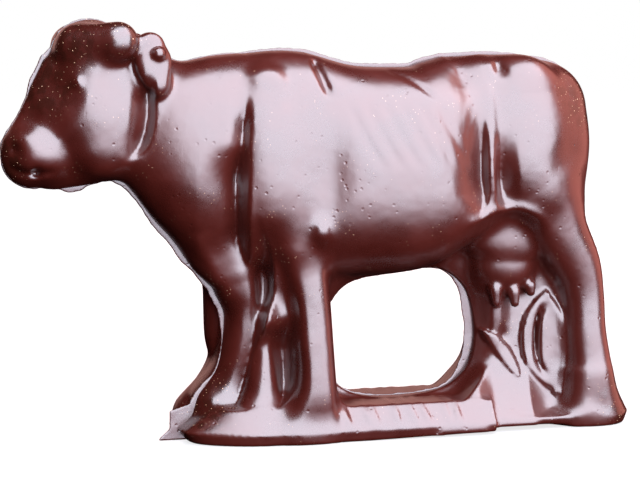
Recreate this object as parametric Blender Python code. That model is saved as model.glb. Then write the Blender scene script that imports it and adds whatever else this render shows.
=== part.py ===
"""A moulded chocolate cow standing on a low grassy base, in one piece.

The figure was cast in a two-part mould that closes on the plane Y = 0, so a thin fin of
flash runs round its outline. The head points to -X, the side seen first is -Y, +Z is up
and the origin is on the ground under the middle of the base.

The shape is a field: a number at each place, negative inside the chocolate. Bodies and
limbs are rings carried along a line in the side view, bones and muscles are ellipsoids,
and small folds are lines that raise or lower the sides. The surface is where the field
passes zero. Sizes are in millimetres until the mesh is made.
"""
from typing import NamedTuple

import bmesh
import bpy
import numpy as np

MM = 0.001

# figure
NAME = "cow"
CHOCOLATE = (0.115, 0.030, 0.018, 1.0)
CHOCOLATE_ROUGHNESS = 0.28
BODY_TRIANGLES = 6400

# space searched for the surface, and how finely
REACH_LOW = (-86.0, -22.0, -1.6)
REACH_HIGH = (54.0, 22.0, 88.0)
STEP = 0.8
OUTLINE_STEP = 2.0

# base
BASE_MIDDLE = 1.2
BASE_HALF_LENGTH = 47.6
BASE_HALF_WIDTH = 12.8
BASE_REAR_HALF_WIDTH = 10.2
BASE_SETBACK_AT = 17.4
RIM_HEIGHT = 2.4
RIM_UNDERCUT = 0.25
CREST_HEIGHT = 6.8
EDGE_LIFT = 0.9
BANK_FROM = 14.3
BANK_TO = 26.3
BANK_HEIGHT = 11.8

# gap under the belly
GAP_CENTRE = (0.2, 19.4)
GAP_HALF = (16.4, 14.0)
GAP_TILT = 8.0
WEB_EDGE = 0.9
WEB_TAPER = 0.4
BELLY_TAPER = 0.9
WEB_SWELL = 8.4
SWELL_OVER = 7.0

# flash along the seam
FLASH_WIDTH = 0.35
FLASH_THICKNESS = 0.6


class Ring(NamedTuple):
    """One ring of a limb: its place in the side view and its reach to each side."""

    x: float
    z: float
    left: float
    right: float
    half_width: float
    y: float = 0.0


# Left is up on rings listed from head to tail, and towards the tail on those listed downwards.
BARREL = (
    Ring(-36, 55.0, 21.2, 17.0, 12.6),
    Ring(-27, 53.6, 23.0, 17.0, 13.6),
    Ring(-14, 52.0, 22.6, 19.4, 16.8),
    Ring(0, 51.0, 23.2, 18.4, 18.1),
    Ring(7, 51.2, 24.0, 16.0, 17.1),
    Ring(13, 51.8, 24.2, 13.0, 14.8),
    Ring(20, 53.4, 22.4, 9.4, 12.6),
)
NECK = (
    Ring(-57, 66.0, 9.6, 12.5, 7.6),
    Ring(-48, 61.0, 14.2, 11.8, 10.0),
    Ring(-39, 57.0, 19.2, 17.0, 12.2),
    Ring(-28, 53.6, 22.8, 22, 14.0),
)
BRISKET = (
    Ring(-40, 50, 9, 6.6, 8.2),
    Ring(-39.4, 44, 9, 7.0, 8.0),
    Ring(-38.2, 38, 9, 6.4, 7.2),
    Ring(-35.6, 31.5, 8, 3.6, 5.6),
)
RUMP = (
    Ring(14, 58, 17.6, 14, 13),
    Ring(22, 57.5, 18.2, 16, 12.6),
)
QUARTER = (
    Ring(30.2, 65.8, 9.6, 9.2, 9.0),
    Ring(30.4, 58, 9.7, 9.6, 10.2),
    Ring(30.0, 48, 9.7, 9.6, 9.8),
)
SHOULDER = (
    Ring(-30.2, 70, 4.4, 4.6, 5.0, 7.6),
    Ring(-29.2, 62, 5.2, 6.4, 7.0, 7.8),
    Ring(-28.6, 54, 5.2, 7.2, 7.6, 7.8),
    Ring(-27.8, 47.5, 4.8, 6.8, 7.5, 7.5),
    Ring(-26.2, 40, 4.4, 4.8, 6.4, 7.4),
)
THIGH = (
    Ring(23.6, 69, 7.5, 7.0, 6.0, 6.6),
    Ring(24.0, 61, 8.8, 7.6, 7.6, 6.6),
    Ring(24.2, 54, 6.4, 7.0, 8.2, 6.4),
    Ring(26.0, 49.5, 5.8, 6.6, 7.5, 6.2),
)
UDDER = (
    Ring(21.0, 44, 10.0, 10.0, 9.2),
    Ring(21.6, 38, 9.4, 9.4, 9.0),
    Ring(21.6, 34.5, 7.6, 7.6, 8.1),
)
# The skull is listed from the nape to the muzzle, so its left is the jaw.
SKULL = (
    Ring(-56, 67, 13.5, 11.0, 8.8),
    Ring(-63, 61.5, 10.0, 16.2, 8.2),
    Ring(-70, 58.2, 7.8, 11.6, 5.8),
    Ring(-74.8, 56.8, 5.7, 5.7, 5.0),
)
FACE = (
    Ring(-62.5, 75, 6.0, 7.8, 8.4),
    Ring(-66.5, 66.5, 7.0, 8.7, 8.8),
    Ring(-71.5, 58.5, 6.0, 6.8, 5.6),
)
CHEEK = (
    Ring(-61.4, 72.5, 6.2, 7.2, 4.4, 4.6),
    Ring(-61.2, 66, 6.4, 7.8, 5.0, 5.0),
    Ring(-60.4, 60, 6.0, 7.2, 4.8, 5.2),
)
EAR = (
    Ring(-53.0, 78.0, 3.0, 2.8, 2.2, 8.2),
    Ring(-52.4, 75.0, 3.6, 3.6, 2.6, 8.5),
    Ring(-52.0, 71.2, 2.6, 3.0, 2.7, 8.8),
)
NEAR_FORELEG = (
    Ring(-25.8, 50, 7.4, 6.6, 8.4, -5.4),
    Ring(-24.6, 44, 6.6, 5.4, 8.0, -5.4),
    Ring(-24.0, 39, 6.2, 4.6, 7.9, -5.3),
    Ring(-23.1, 33, 5.8, 4.2, 7.8, -5.3),
    Ring(-22.2, 26, 5.4, 3.6, 7.8, -5.4),
    Ring(-21.4, 19, 5.0, 3.2, 7.8, -5.6),
    Ring(-21.0, 13, 5.0, 3.4, 7.8, -5.8),
    Ring(-21.0, 9, 5.4, 4.4, 7.8, -5.8),
    Ring(-21.5, 3, 6.5, 7.0, 7.6, -5.2),
)
TUFT_BETWEEN_FORELEGS = (
    Ring(-29.9, 25, 0.9, 0.9, 3.0, -2.4),
    Ring(-29.9, 20, 1.9, 1.9, 4.4, -2.4),
    Ring(-30.0, 14, 3.2, 3.0, 5.2, -2.4),
    Ring(-30.2, 8, 4.4, 4.2, 5.9, -2.4),
)
FAR_FORELEG = (
    Ring(-33, 44, 7.0, 7.0, 8.6, 4.6),
    Ring(-33.4, 33, 5.0, 4.4, 9.1, 2.7),
    Ring(-33.2, 26, 4.2, 3.8, 8.3, 2.7),
    Ring(-33.5, 19, 3.9, 4.0, 7.9, 2.95),
    Ring(-34.8, 13, 4.2, 4.2, 7.2, 3.4),
    Ring(-37.0, 7, 6.0, 6.2, 7.0, 3.6),
)
FAR_SHIN = (
    Ring(-34.5, 34, 5.0, 5.0, 5.5, 6.5),
    Ring(-35.0, 27, 4.2, 4.4, 5.0, 6.4),
    Ring(-35.0, 20, 4.0, 4.2, 4.6, 6.4),
    Ring(-35.0, 15, 4.0, 3.6, 4.6, 6.2),
    Ring(-37.0, 9, 5.0, 4.6, 5.0, 6.0),
    Ring(-40.5, 4, 5.0, 5.5, 5.0, 5.8),
)
NEAR_HIND_LEG = (
    Ring(27.5, 50, 9.0, 8.0, 8.4, -5.2),
    Ring(31.6, 41, 7.2, 6.0, 7.2, -4.8),
    Ring(36.6, 33.5, 5.4, 5.4, 6.4, -4.2),
    Ring(38.6, 27, 4.4, 4.7, 6.2, -3.7),
    Ring(39.2, 20, 4.2, 5.0, 6.4, -3.7),
    Ring(40.0, 14, 4.4, 5.4, 6.6, -3.8),
    Ring(40.2, 11.5, 4.8, 6.2, 7.0, -3.9),
    Ring(40.4, 7, 5.8, 6.6, 7.0, -3.8),
    Ring(41.0, 3, 6.6, 8.0, 7.0, -3.6),
)
FAR_HIND_LEG = (
    Ring(22, 50, 9.5, 8.4, 8.2, 6.0),
    Ring(19.8, 36, 6.4, 4.6, 8.2, 4.6),
    Ring(19.4, 27, 4.6, 3.0, 8.0, 3.0),
    Ring(20.0, 19, 3.8, 3.2, 7.6, 3.0),
    Ring(19.4, 12, 4.8, 4.4, 7.6, 3.2),
    Ring(18.0, 6, 7.0, 7.0, 8.0, 3.2),
)
LEGS = (
    (NEAR_FORELEG, 2.9),
    (TUFT_BETWEEN_FORELEGS, 2.2),
    (FAR_FORELEG, 2.1),
    (FAR_SHIN, 2.1),
    (NEAR_HIND_LEG, 2.4),
    (FAR_HIND_LEG, 2.1),
)


class Fold(NamedTuple):
    """A line in the side view where the surface softly rises (+) or sinks (-)."""

    height: float
    width: float
    points: tuple
    fade: float = 0.25


class Crease(NamedTuple):
    """A line in the side view where the surface sinks (-) to a sharp bottom."""

    height: float
    left: float
    right: float
    points: tuple
    fade: float = 0.3


FOLDS = (
    # mouth
    Fold(-0.6, 0.7, ((-80.4, 55.6), (-77.4, 54.2), (-74.5, 54.0), (-69.7, 54.6))),
    # ridge of the chest, pit above the forelegs
    Fold(0.45, 1.6, ((-45.4, 42.7), (-43.0, 38.6), (-40.4, 34.4), (-38.3, 28.7))),
    Fold(-2.4, 3.2, ((-34.0, 46), (-31.4, 40), (-29.4, 33.5), (-27.4, 26), (-25.6, 18)), 0.4),
    # edge of the loin, hip ridge, rim of the thigh
    Fold(-0.45, 0.6, ((-5.5, 73.4), (-2.2, 72.2), (0.6, 70.2), (3.4, 67.4))),
    Fold(0.4, 1.3, ((15.1, 74.5), (14.9, 65.7), (14.9, 56), (15.4, 47))),
    Fold(0.8, 1.3, ((8, 42.0), (11.2, 43.6), (15.5, 45.2), (20.4, 45.9), (25.6, 43.8), (29.2, 39.2)), 0.3),
)
CREASES = (
    # behind the jaw, before the shoulder, notch of the withers
    Crease(-2.0, 0.9, 4.0, ((-53.6, 73.5), (-53.2, 69), (-53.3, 64.5), (-54.6, 59.7), (-58.4, 56.0))),
    Crease(-2.0, 1.2, 3.5, ((-34.6, 70), (-35.4, 63), (-36.0, 56), (-36.2, 50)), 0.4),
    Crease(-4.6, 1.4, 8.5, ((-35.6, 60), (-36.2, 52), (-35.8, 43), (-33.4, 33)), 0.35),
    Crease(-1.0, 1.2, 1.2, ((-20.2, 76.5), (-19.3, 72.5), (-18.0, 67.5))),
    # flank, before the thigh
    Crease(-2.1, 1.0, 7.5, ((12.3, 67.5), (12.9, 59.7), (13.0, 53), (13.4, 47.6), (11.0, 42.6)), 0.4),
    Crease(-2.6, 3.0, 2.2, ((16.9, 62.5), (17.4, 54.5), (18.0, 49), (18.6, 44.5)), 0.5),
)


class Dent(NamedTuple):
    """A round rise (+) or hollow (-) in the side view, leaning by a pitch in degrees."""

    height: float
    x: float
    z: float
    radii: tuple
    pitch: float = 0.0


DENTS = (
    # eye socket and eye, nostril, corner of the mouth
    Dent(-0.6, -68.8, 69.0, (2.8, 3.6), 20),
    Dent(0.7, -67.0, 71.4, (0.9, 1.0)),
    Dent(-0.8, -78.4, 58.6, (1.0, 1.2)),
    Dent(-1.2, -74.5, 54.3, (0.8, 0.8)),
    # hollow behind the shoulder, elbow, hollow before the hip, hip bone, notch behind it
    Dent(-1.3, -19.4, 53.0, (4.4, 12.0)),
    Dent(1.4, -20.5, 42.0, (1.9, 2.6), 10),
    Dent(-1.0, 9.9, 72.0, (3.4, 3.0)),
    Dent(0.8, 15.6, 75.0, (2.6, 2.2)),
    Dent(-0.8, 18.2, 73.6, (1.3, 1.8)),
)
RIBS = 6
RIB_START = -15.5
RIB_PITCH = 3.6
RIB_DEPTH = 0.22


class Blade(NamedTuple):
    """A pointed leaf along a line in the side view, with crisp edges and a flat face."""

    height: float
    width: float
    points: tuple


# Leaves that stand in relief on the web between the hind legs.
BLADES = (
    Blade(1.6, 1.9, ((30.6, 27.5), (27.6, 22.5), (26.9, 17.5), (28.0, 12.5), (32.0, 7.6))),
    Blade(2.0, 3.5, ((30.8, 27.0), (31.6, 22.0), (32.0, 17.0), (31.9, 12.0), (32.6, 7.0))),
    Blade(1.5, 1.8, ((17.0, 20.0), (20.2, 17.0), (22.4, 14.0), (24.2, 10.6))),
)
TEATS = ((18.9, 5.8, 28.8, 2.8), (22.9, 6.0, 28.2, 2.4), (26.8, 5.0, 29.2, 1.4))

# Where the flash is wider: x, z, reach along x and z, and the extra width.
WIDE_FLASH = (
    (17.5, 20, 6, 11, 1.7),
    (-48, 41, 5.5, 8, 0.9),
    (-55, 51, 4, 4, 0.5),
    (-38, 28, 5, 6, 0.9),
    (-44, 8, 5, 4, 0.6),
    (-8, 76, 22, 5, 0.5),
    (22, 77, 14, 5, 0.4),
    (-73, 74, 4, 5, 0.5),
    (-66.5, 50, 2.2, 2.5, 0.9),
    (46, 12, 4, 9, 0.6),
)


def smooth_union(a, b, blend):
    """Join two fields with a fillet about as wide as the blend."""
    overlap = np.maximum(blend - np.abs(a - b), 0.0) / blend
    return np.minimum(a, b) - overlap * overlap * blend * 0.25


def ramp(low, high, value):
    """Rise smoothly from 0 at low to 1 at high, or fall if high is the smaller."""
    t = np.clip((value - low) / (high - low), 0.0, 1.0)
    return t * t * (3.0 - 2.0 * t)


def turned(x, z, centre, degrees):
    """Coordinates measured from a centre along axes turned in the side view."""
    c, s = np.cos(np.radians(degrees)), np.sin(np.radians(degrees))
    dx, dz = x - centre[0], z - centre[1]
    return c * dx + s * dz, -s * dx + c * dz


def smooth_line(points, count):
    """Pass a smooth line through the points and return evenly spread samples of it."""
    rows = np.asarray(points, dtype=float)
    slope = np.gradient(rows, axis=0)
    u = np.linspace(0.0, len(rows) - 1 - 1e-9, count)
    i = u.astype(int)
    t = (u - i)[:, None]
    start = (2 * t**3 - 3 * t**2 + 1) * rows[i] + (t**3 - 2 * t**2 + t) * slope[i]
    end = (3 * t**2 - 2 * t**3) * rows[i + 1] + (t**3 - t**2) * slope[i + 1]
    return start + end


def follow(x, z, line):
    """Find the nearest place on a line: distance, side (1 left, -1 right), other columns."""
    best = np.full(np.broadcast(x, z).shape, 1e9)
    side = np.zeros_like(best)
    columns = [np.zeros_like(best) for _ in range(line.shape[1] - 2)]
    for a, b in zip(line[:-1], line[1:]):
        dx, dz = b[0] - a[0], b[1] - a[1]
        t = np.clip(((x - a[0]) * dx + (z - a[1]) * dz) / (dx * dx + dz * dz + 1e-12), 0.0, 1.0)
        away_x, away_z = x - (a[0] + t * dx), z - (a[1] + t * dz)
        distance = np.hypot(away_x, away_z)
        sine = (dx * away_z - dz * away_x) / (np.hypot(dx, dz) * distance + 1e-9)
        nearer = distance < best
        best = np.where(nearer, distance, best)
        side = np.where(nearer, sine, side)
        for n, (at_a, at_b) in enumerate(zip(a[2:], b[2:])):
            columns[n] = np.where(nearer, at_a + t * (at_b - at_a), columns[n])
    return best, side, columns


def limb(x, y, z, rings, squareness):
    """Field of rings carried along a line; a squareness of 2 gives ellipses."""
    distance, side, (left, right, wide, middle) = follow(x, z, smooth_line(rings, 40))
    reach = 0.5 * (left + right) + 0.5 * (left - right) * side
    a, b, m = distance / reach, np.abs(y - middle) / wide, squareness
    rho = (a**m + b**m) ** (1 / m) + 1e-6
    slope = np.sqrt((a ** (m - 1) / reach) ** 2 + (b ** (m - 1) / wide) ** 2) * rho ** (1 - m)
    return (rho - 1) / np.maximum(slope, 0.6 / np.maximum(reach, wide))


def ellipsoid(x, y, z, centre, radii, pitch=0.0):
    """Field of an ellipsoid that leans by a pitch in the side view."""
    u, v = turned(x, z, (centre[0], centre[2]), pitch)
    w = y - centre[1]
    scaled = np.sqrt((u / radii[0]) ** 2 + (w / radii[1]) ** 2 + (v / radii[2]) ** 2) + 1e-6
    slope = np.sqrt((u / radii[0] ** 2) ** 2 + (w / radii[1] ** 2) ** 2 + (v / radii[2] ** 2) ** 2) + 1e-6
    return scaled * (scaled - 1) / slope


def round_cone(x, y, z, start, end, start_radius, end_radius):
    """Field of a cone with round ends."""
    a, b = np.array(start, float), np.array(end, float)
    d = b - a
    t = np.clip(((x - a[0]) * d[0] + (y - a[1]) * d[1] + (z - a[2]) * d[2]) / (d @ d), 0.0, 1.0)
    away = (x - a[0] - t * d[0]) ** 2 + (y - a[1] - t * d[1]) ** 2 + (z - a[2] - t * d[2]) ** 2
    return np.sqrt(away) - (start_radius + t * (end_radius - start_radius))


def along_line(x, z, points):
    """Distance from a smooth line, side of it, and how far along it from 0 to 1."""
    line = smooth_line(points, 24)
    distance, side, (u,) = follow(x, z, np.hstack([line, np.linspace(0.0, 1.0, len(line))[:, None]]))
    return distance, side, u


def fading(u, fade):
    """Rise from nothing at both ends of a line over the fade's share of its length."""
    return ramp(0.0, fade, u) * ramp(0.0, fade, 1.0 - u)


def fold_height(x, z, fold):
    """Height of a fold: full on its line, falling as a bell curve across its width."""
    distance, _, u = along_line(x, z, fold.points)
    return fold.height * np.exp(-((distance / fold.width) ** 2)) * fading(u, fold.fade)


def crease_height(x, z, crease):
    """Height of a crease: full on its line, falling to nothing at its width on that side."""
    distance, side, u = along_line(x, z, crease.points)
    width = 0.5 * (crease.left + crease.right) + 0.5 * (crease.left - crease.right) * side
    return crease.height * np.clip(1.0 - distance / width, 0.0, 1.0) ** 1.5 * fading(u, crease.fade)


def blade_height(x, z, blade):
    """Height of a leaf: its half width swells and shrinks along it as the root of a sine."""
    distance, _, u = along_line(x, z, blade.points)
    half = blade.width * np.sqrt(np.sin(np.pi * np.clip(u, 0.02, 0.98)))
    return blade.height * ramp(0.0, 0.4, 1.0 - distance / half)


def torso_field(x, y, z):
    """Barrel, neck, brisket, rump and hind quarter."""
    d = smooth_union(limb(x, y, z, BARREL, 2.6), limb(x, y, z, NECK, 2.4), 6.0)
    d = smooth_union(d, limb(x, y, z, BRISKET, 2.2), 3.0)
    d = smooth_union(d, limb(x, y, z, RUMP, 2.5), 4.0)
    return smooth_union(d, limb(x, y, z, QUARTER, 2.3), 3.0)


def head_field(x, y, z):
    """Head with its face, cheeks, bridge of the nose and muzzle."""
    side = np.abs(y)
    d = smooth_union(limb(x, y, z, SKULL, 1.9), limb(x, y, z, FACE, 1.3), 3.0)
    d = smooth_union(d, limb(x, side, z, CHEEK, 2.4), 3.5)
    d = smooth_union(d, round_cone(x, y, z, (-66.4, 0, 78.0), (-77.7, 0, 59.4), 2.8, 2.2), 2.0)
    return smooth_union(d, ellipsoid(x, side, z, (-73.6, 3.0, 57.8), (5.6, 4.4, 4.4), -35), 2.5)


def add_horns_and_ears(x, y, z, d):
    """Join the poll, the stubs of the horns and the ears to the head."""
    side = np.abs(y)
    d = smooth_union(d, ellipsoid(x, y, z, (-63.2, 0, 77.6), (6.0, 6.5, 5.4), 12), 3.0)
    d = smooth_union(d, round_cone(x, side, z, (-66.2, 3.4, 78.3), (-59.2, 9.0, 79.0), 3.9, 3.9), 2.0)
    lobe = ellipsoid(x, side, z, (-51.4, 7.2, 70.8), (2.6, 2.8, 3.2))
    knob = ellipsoid(x, side, z, (-51.7, 10.9, 76.8), (1.3, 1.2, 1.3))
    ear = smooth_union(smooth_union(limb(x, side, z, EAR, 3.2), lobe, 1.6), knob, 0.8)
    return smooth_union(d, ear, 1.2)


def add_muscles(x, y, z, d):
    """Join the shoulders and the thighs, alike on both sides."""
    side = np.abs(y)
    d = smooth_union(d, limb(x, side, z, SHOULDER, 2.6), 1.8)
    return smooth_union(d, limb(x, side, z, THIGH, 2.3), 3.0)


def add_udder(x, y, z, d):
    """Join the udder and its three pairs of teats."""
    side = np.abs(y)
    d = smooth_union(d, limb(x, y, z, UDDER, 2.3), 2.0)
    for at_x, at_y, at_z, length in TEATS:
        tip = (at_x + 0.2, at_y + 0.2, at_z - length)
        d = smooth_union(d, round_cone(x, side, z, (at_x, at_y, at_z), tip, 1.4, 0.9), 1.0)
    return d


def web_field(x, y, z):
    """Sheet in the seam plane between the legs, thinner towards the gap under the belly."""
    u, v = turned(x, z, GAP_CENTRE, GAP_TILT)
    oval = (np.abs(u / GAP_HALF[0]) ** 2.5 + np.abs(v / GAP_HALF[1]) ** 2.5) ** 0.4
    from_gap = (oval - 1) * GAP_HALF[1]
    taper = WEB_TAPER + BELLY_TAPER * ramp(2.0, 10.0, v) * ramp(16.0, 6.0, u)
    thickness = WEB_EDGE + taper * WEB_SWELL * (1.0 - np.exp(-np.maximum(from_gap, 0.0) / SWELL_OVER))
    thickness = thickness + 0.07 * np.clip(28.0 - z, 0.0, 20.0) * ramp(12, 20, x)
    thickness = thickness + 0.08 * np.clip(z - 8.0, 0.0, 18.0) * ramp(-18, -22, x)
    rear = x - 36.0 + 0.3 * np.maximum(z - 28.0, 0.0)
    bounds = np.maximum(np.maximum(rear, -31.0 - x), np.abs(z - 24.0) - 20.0)
    return np.maximum(np.maximum(np.abs(y) - thickness, -from_gap), bounds)


def bank_field(x, y, z):
    """Steep bank under the leaves, with a straight edge at each side of its face."""
    low, high = np.clip(x - BANK_FROM, 0, 4.4), np.clip(x - BANK_TO, 0, 6)
    half = BASE_HALF_WIDTH - 0.55 * low - 0.9 * high
    face = (np.abs(y) - half + 0.55 * (z - 1.3)) * 0.85
    top = BANK_HEIGHT - 0.9 * np.maximum(17 - x, 0)
    return np.maximum(face, np.maximum((z - top) * 0.75, x - 38))


def base_field(x, y, z):
    """Low mound with a rim, set back behind the hind legs on the near side."""
    front = BASE_HALF_WIDTH - 4.2 * ramp(-30, -50, x)
    near_rear = BASE_REAR_HALF_WIDTH - 1.8 * ramp(34, 50, x)
    far_rear = front - 2.0 * ramp(34, 50, x)
    half = np.where(x < BASE_SETBACK_AT, front, np.where(y < 0, near_rear, far_rear))
    past_end = (np.abs(x - BASE_MIDDLE) / BASE_HALF_LENGTH) ** 9
    across = np.abs(y) / half
    plan = ((past_end + across**4) ** 0.25 - 1) * half * 0.8
    side = RIM_HEIGHT - 1.9 * plan
    scoop = 0.85 * ramp(18, 26, x) * ramp(43, 37, x)
    top = RIM_HEIGHT + (np.minimum(side, CREST_HEIGHT) - RIM_HEIGHT) * (1 - scoop)
    leaning = plan + RIM_UNDERCUT * np.maximum(RIM_HEIGHT - z, 0.0)
    d = smooth_union(np.maximum(leaning, (z - top) * 0.6), bank_field(x, y, z), 0.8)
    before = ramp(-12, 14, x) * ramp(BASE_SETBACK_AT + 0.2, BASE_SETBACK_AT - 0.2, x)
    behind = ramp(BASE_SETBACK_AT - 0.2, BASE_SETBACK_AT + 0.2, x) * (1 - 0.8 * ramp(28, 46, x))
    lift = (0.55 * before + behind) * EDGE_LIFT * ramp(-4, -9, y)
    return np.maximum(d, np.where(lift > 0.02, lift - z, -9.0))


def side_height(x, z):
    """How far folds, creases, ribs and dents raise or lower the sides."""
    total = sum(fold_height(x, z, fold) for fold in FOLDS)
    total = total + sum(crease_height(x, z, crease) for crease in CREASES)
    for i in range(RIBS):
        start = RIB_START + RIB_PITCH * i
        rib = Fold(-RIB_DEPTH, 0.9, ((start, 68.5 - 0.2 * i), (start + 3.2, 61), (start + 7.4, 53.5)))
        total = total + fold_height(x, z, rib)
    for dent in DENTS:
        u, v = turned(x, z, (dent.x, dent.z), dent.pitch)
        total = total + dent.height * np.exp(-((u / dent.radii[0]) ** 2 + (v / dent.radii[1]) ** 2))
    return total


def cow_field(x, y, z):
    """The whole casting without its flash."""
    d = smooth_union(torso_field(x, y, z), head_field(x, y, z), 2.5)
    d = add_horns_and_ears(x, y, z, d)
    d = add_muscles(x, y, z, d)
    d = smooth_union(d, web_field(x, y, z), 2.5)
    legs = [limb(x, y, z, rings, squareness) for rings, squareness in LEGS]
    d = smooth_union(d, np.minimum.reduce(legs), 2.6)
    d = smooth_union(d, base_field(x, y, z), 3.0)
    d = add_udder(x, y, z, d)
    away = np.abs(y)
    leaves = np.maximum.reduce([blade_height(x, z, blade) for blade in BLADES])
    d = d - side_height(x, z) * ramp(1.0, 4.0, away)
    return d - leaves * ramp(7.5, 3.0, away) * ramp(0.5, 2.0, away)


def flash_field(x, z):
    """Outline of the flash in the seam plane: the section there, widened place by place."""
    width = FLASH_WIDTH + 0.12 * np.sin(0.9 * x + 1.3 * z) * np.sin(0.37 * x - 0.61 * z)
    for at_x, at_z, reach_x, reach_z, extra in WIDE_FLASH:
        width = width + extra * np.exp(-(((x - at_x) / reach_x) ** 4) - ((z - at_z) / reach_z) ** 4)
    section = cow_field(x[:, None, :], np.zeros((1, 1, 1)), z[:, None, :])[:, 0, :] - width
    heel = np.maximum(-x - 47.9 - 2.2 * ramp(2.6, 0.0, z), z - 6.0 - 0.3 * (x + 47.4))
    return np.minimum(section, np.maximum(heel, x + 36.0))


def zero_net(values, axes):
    """Place one corner in every cell that the zero surface of a grid passes through.

    Returns the corners, the number of each cell's corner, and for each axis the grid
    edges that the surface crosses.
    """
    inside = values < 0
    cells = tuple(n - 1 for n in values.shape)
    total = np.zeros(cells + (values.ndim,))
    count = np.zeros(cells)
    crossed = []
    for axis in range(values.ndim):
        low = [slice(None)] * values.ndim
        high = list(low)
        low[axis], high[axis] = slice(None, -1), slice(1, None)
        a, b = values[tuple(low)], values[tuple(high)]
        crossing = inside[tuple(low)] != inside[tuple(high)]
        crossed.append(crossing)
        fraction = np.where(crossing, a / np.where(crossing, a - b, 1.0), 0.0)
        shape = [1] * values.ndim
        shape[axis] = -1
        step = np.diff(axes[axis]).reshape(shape)
        place = [np.broadcast_to(grid.reshape([-1 if n == k else 1 for n in range(values.ndim)])[
            tuple(low) if k == axis else (slice(None),) * values.ndim], crossing.shape)
            for k, grid in enumerate(axes)]
        place[axis] = place[axis] + fraction * step
        others = [k for k in range(values.ndim) if k != axis]
        for corner in np.ndindex(*(2,) * len(others)):
            take = [slice(None)] * values.ndim
            for k, offset in zip(others, corner):
                take[k] = slice(offset, offset + cells[k])
            take = tuple(take)
            count += crossing[take]
            for k in range(values.ndim):
                total[..., k] += np.where(crossing[take], place[k][take], 0.0)
    used = count > 0
    number = np.full(cells, -1)
    number[used] = np.arange(used.sum())
    return total[used] / count[used][:, None], number, crossed


def settle_saddles(values):
    """Nudge the grid where opposite corners of a square are alike, so nothing touches itself."""
    for _ in range(20):
        found = 0
        for p, q in ((0, 1), (0, 2), (1, 2)):
            inside = np.moveaxis(values < 0, (p, q), (0, 1))
            a, b, c, d = inside[:-1, :-1], inside[1:, :-1], inside[1:, 1:], inside[:-1, 1:]
            squares = np.argwhere((a == c) & (b == d) & (a != b))
            view = np.moveaxis(values, (p, q), (0, 1))
            for i, j, k in squares:
                corners = [(i, j, k), (i + 1, j, k), (i + 1, j + 1, k), (i, j + 1, k)]
                weakest = min(corners, key=lambda at: abs(view[at]))
                view[weakest] = -0.002 if view[weakest] >= 0 else 0.002
            found += len(squares)
        if not found:
            break
    return values


def closed_surface(values, axes):
    """Corners and four-sided faces of the zero surface of a grid in space, facing out."""
    corners, number, crossed = zero_net(values, axes)
    faces = []
    for axis in range(3):
        p, q = (axis + 1) % 3, (axis + 2) % 3
        low = [slice(None)] * 3
        low[p], low[q] = slice(1, -1), slice(1, -1)
        where = np.argwhere(crossed[axis][tuple(low)])
        where[:, p] += 1
        where[:, q] += 1
        around = []
        for dp, dq in ((-1, -1), (0, -1), (0, 0), (-1, 0)):
            cell = where.copy()
            cell[:, p] += dp
            cell[:, q] += dq
            around.append(number[tuple(cell.T)])
        quads = np.stack(around, axis=1)
        leaving = values[tuple(where.T)] < 0
        faces.append(np.where(leaving[:, None], quads, quads[:, ::-1]))
    return corners, np.concatenate(faces)


def outline(values, axes):
    """Corners and edges of the zero line of a grid in the seam plane."""
    corners, number, crossed = zero_net(values, axes)
    edges = []
    for axis in range(2):
        other = 1 - axis
        inner = [slice(None)] * 2
        inner[other] = slice(1, -1)
        where = np.argwhere(crossed[axis][tuple(inner)])
        where[:, other] += 1
        before = where.copy()
        before[:, other] -= 1
        edges.append(np.stack([number[tuple(before.T)], number[tuple(where.T)]], axis=1))
    return corners, np.concatenate(edges)


def new_object(name, mesh, hidden=False):
    """Put a mesh in the scene; a hidden one only serves a modifier."""
    made = bpy.data.objects.new(name, mesh)
    bpy.context.scene.collection.objects.link(made)
    if hidden:
        made.hide_render = True
        made.display_type = "WIRE"
    return made


def chocolate():
    """Glossy milk chocolate."""
    material = bpy.data.materials.new("milk_chocolate")
    material.use_nodes = True
    shader = material.node_tree.nodes["Principled BSDF"]
    shader.inputs["Base Color"].default_value = CHOCOLATE
    shader.inputs["Roughness"].default_value = CHOCOLATE_ROUGHNESS
    shader.inputs["Metallic"].default_value = 0.0
    return material


def casting_mesh():
    """Surface of the figure, as fine as the search grid."""
    axes = [np.arange(low, high + STEP, STEP) for low, high in zip(REACH_LOW, REACH_HIGH)]
    x, y, z = axes[0][:, None, None], axes[1][None, :, None], axes[2][None, None, :]
    floor = REACH_LOW[2] + 0.5 * STEP
    values = settle_saddles(np.maximum(cow_field(x, y, z), floor - z))
    corners, faces = closed_surface(values, axes)
    mesh = bpy.data.meshes.new(NAME)
    mesh.from_pydata(np.round(corners * MM, 6).tolist(), [], faces.tolist())
    return mesh


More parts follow.
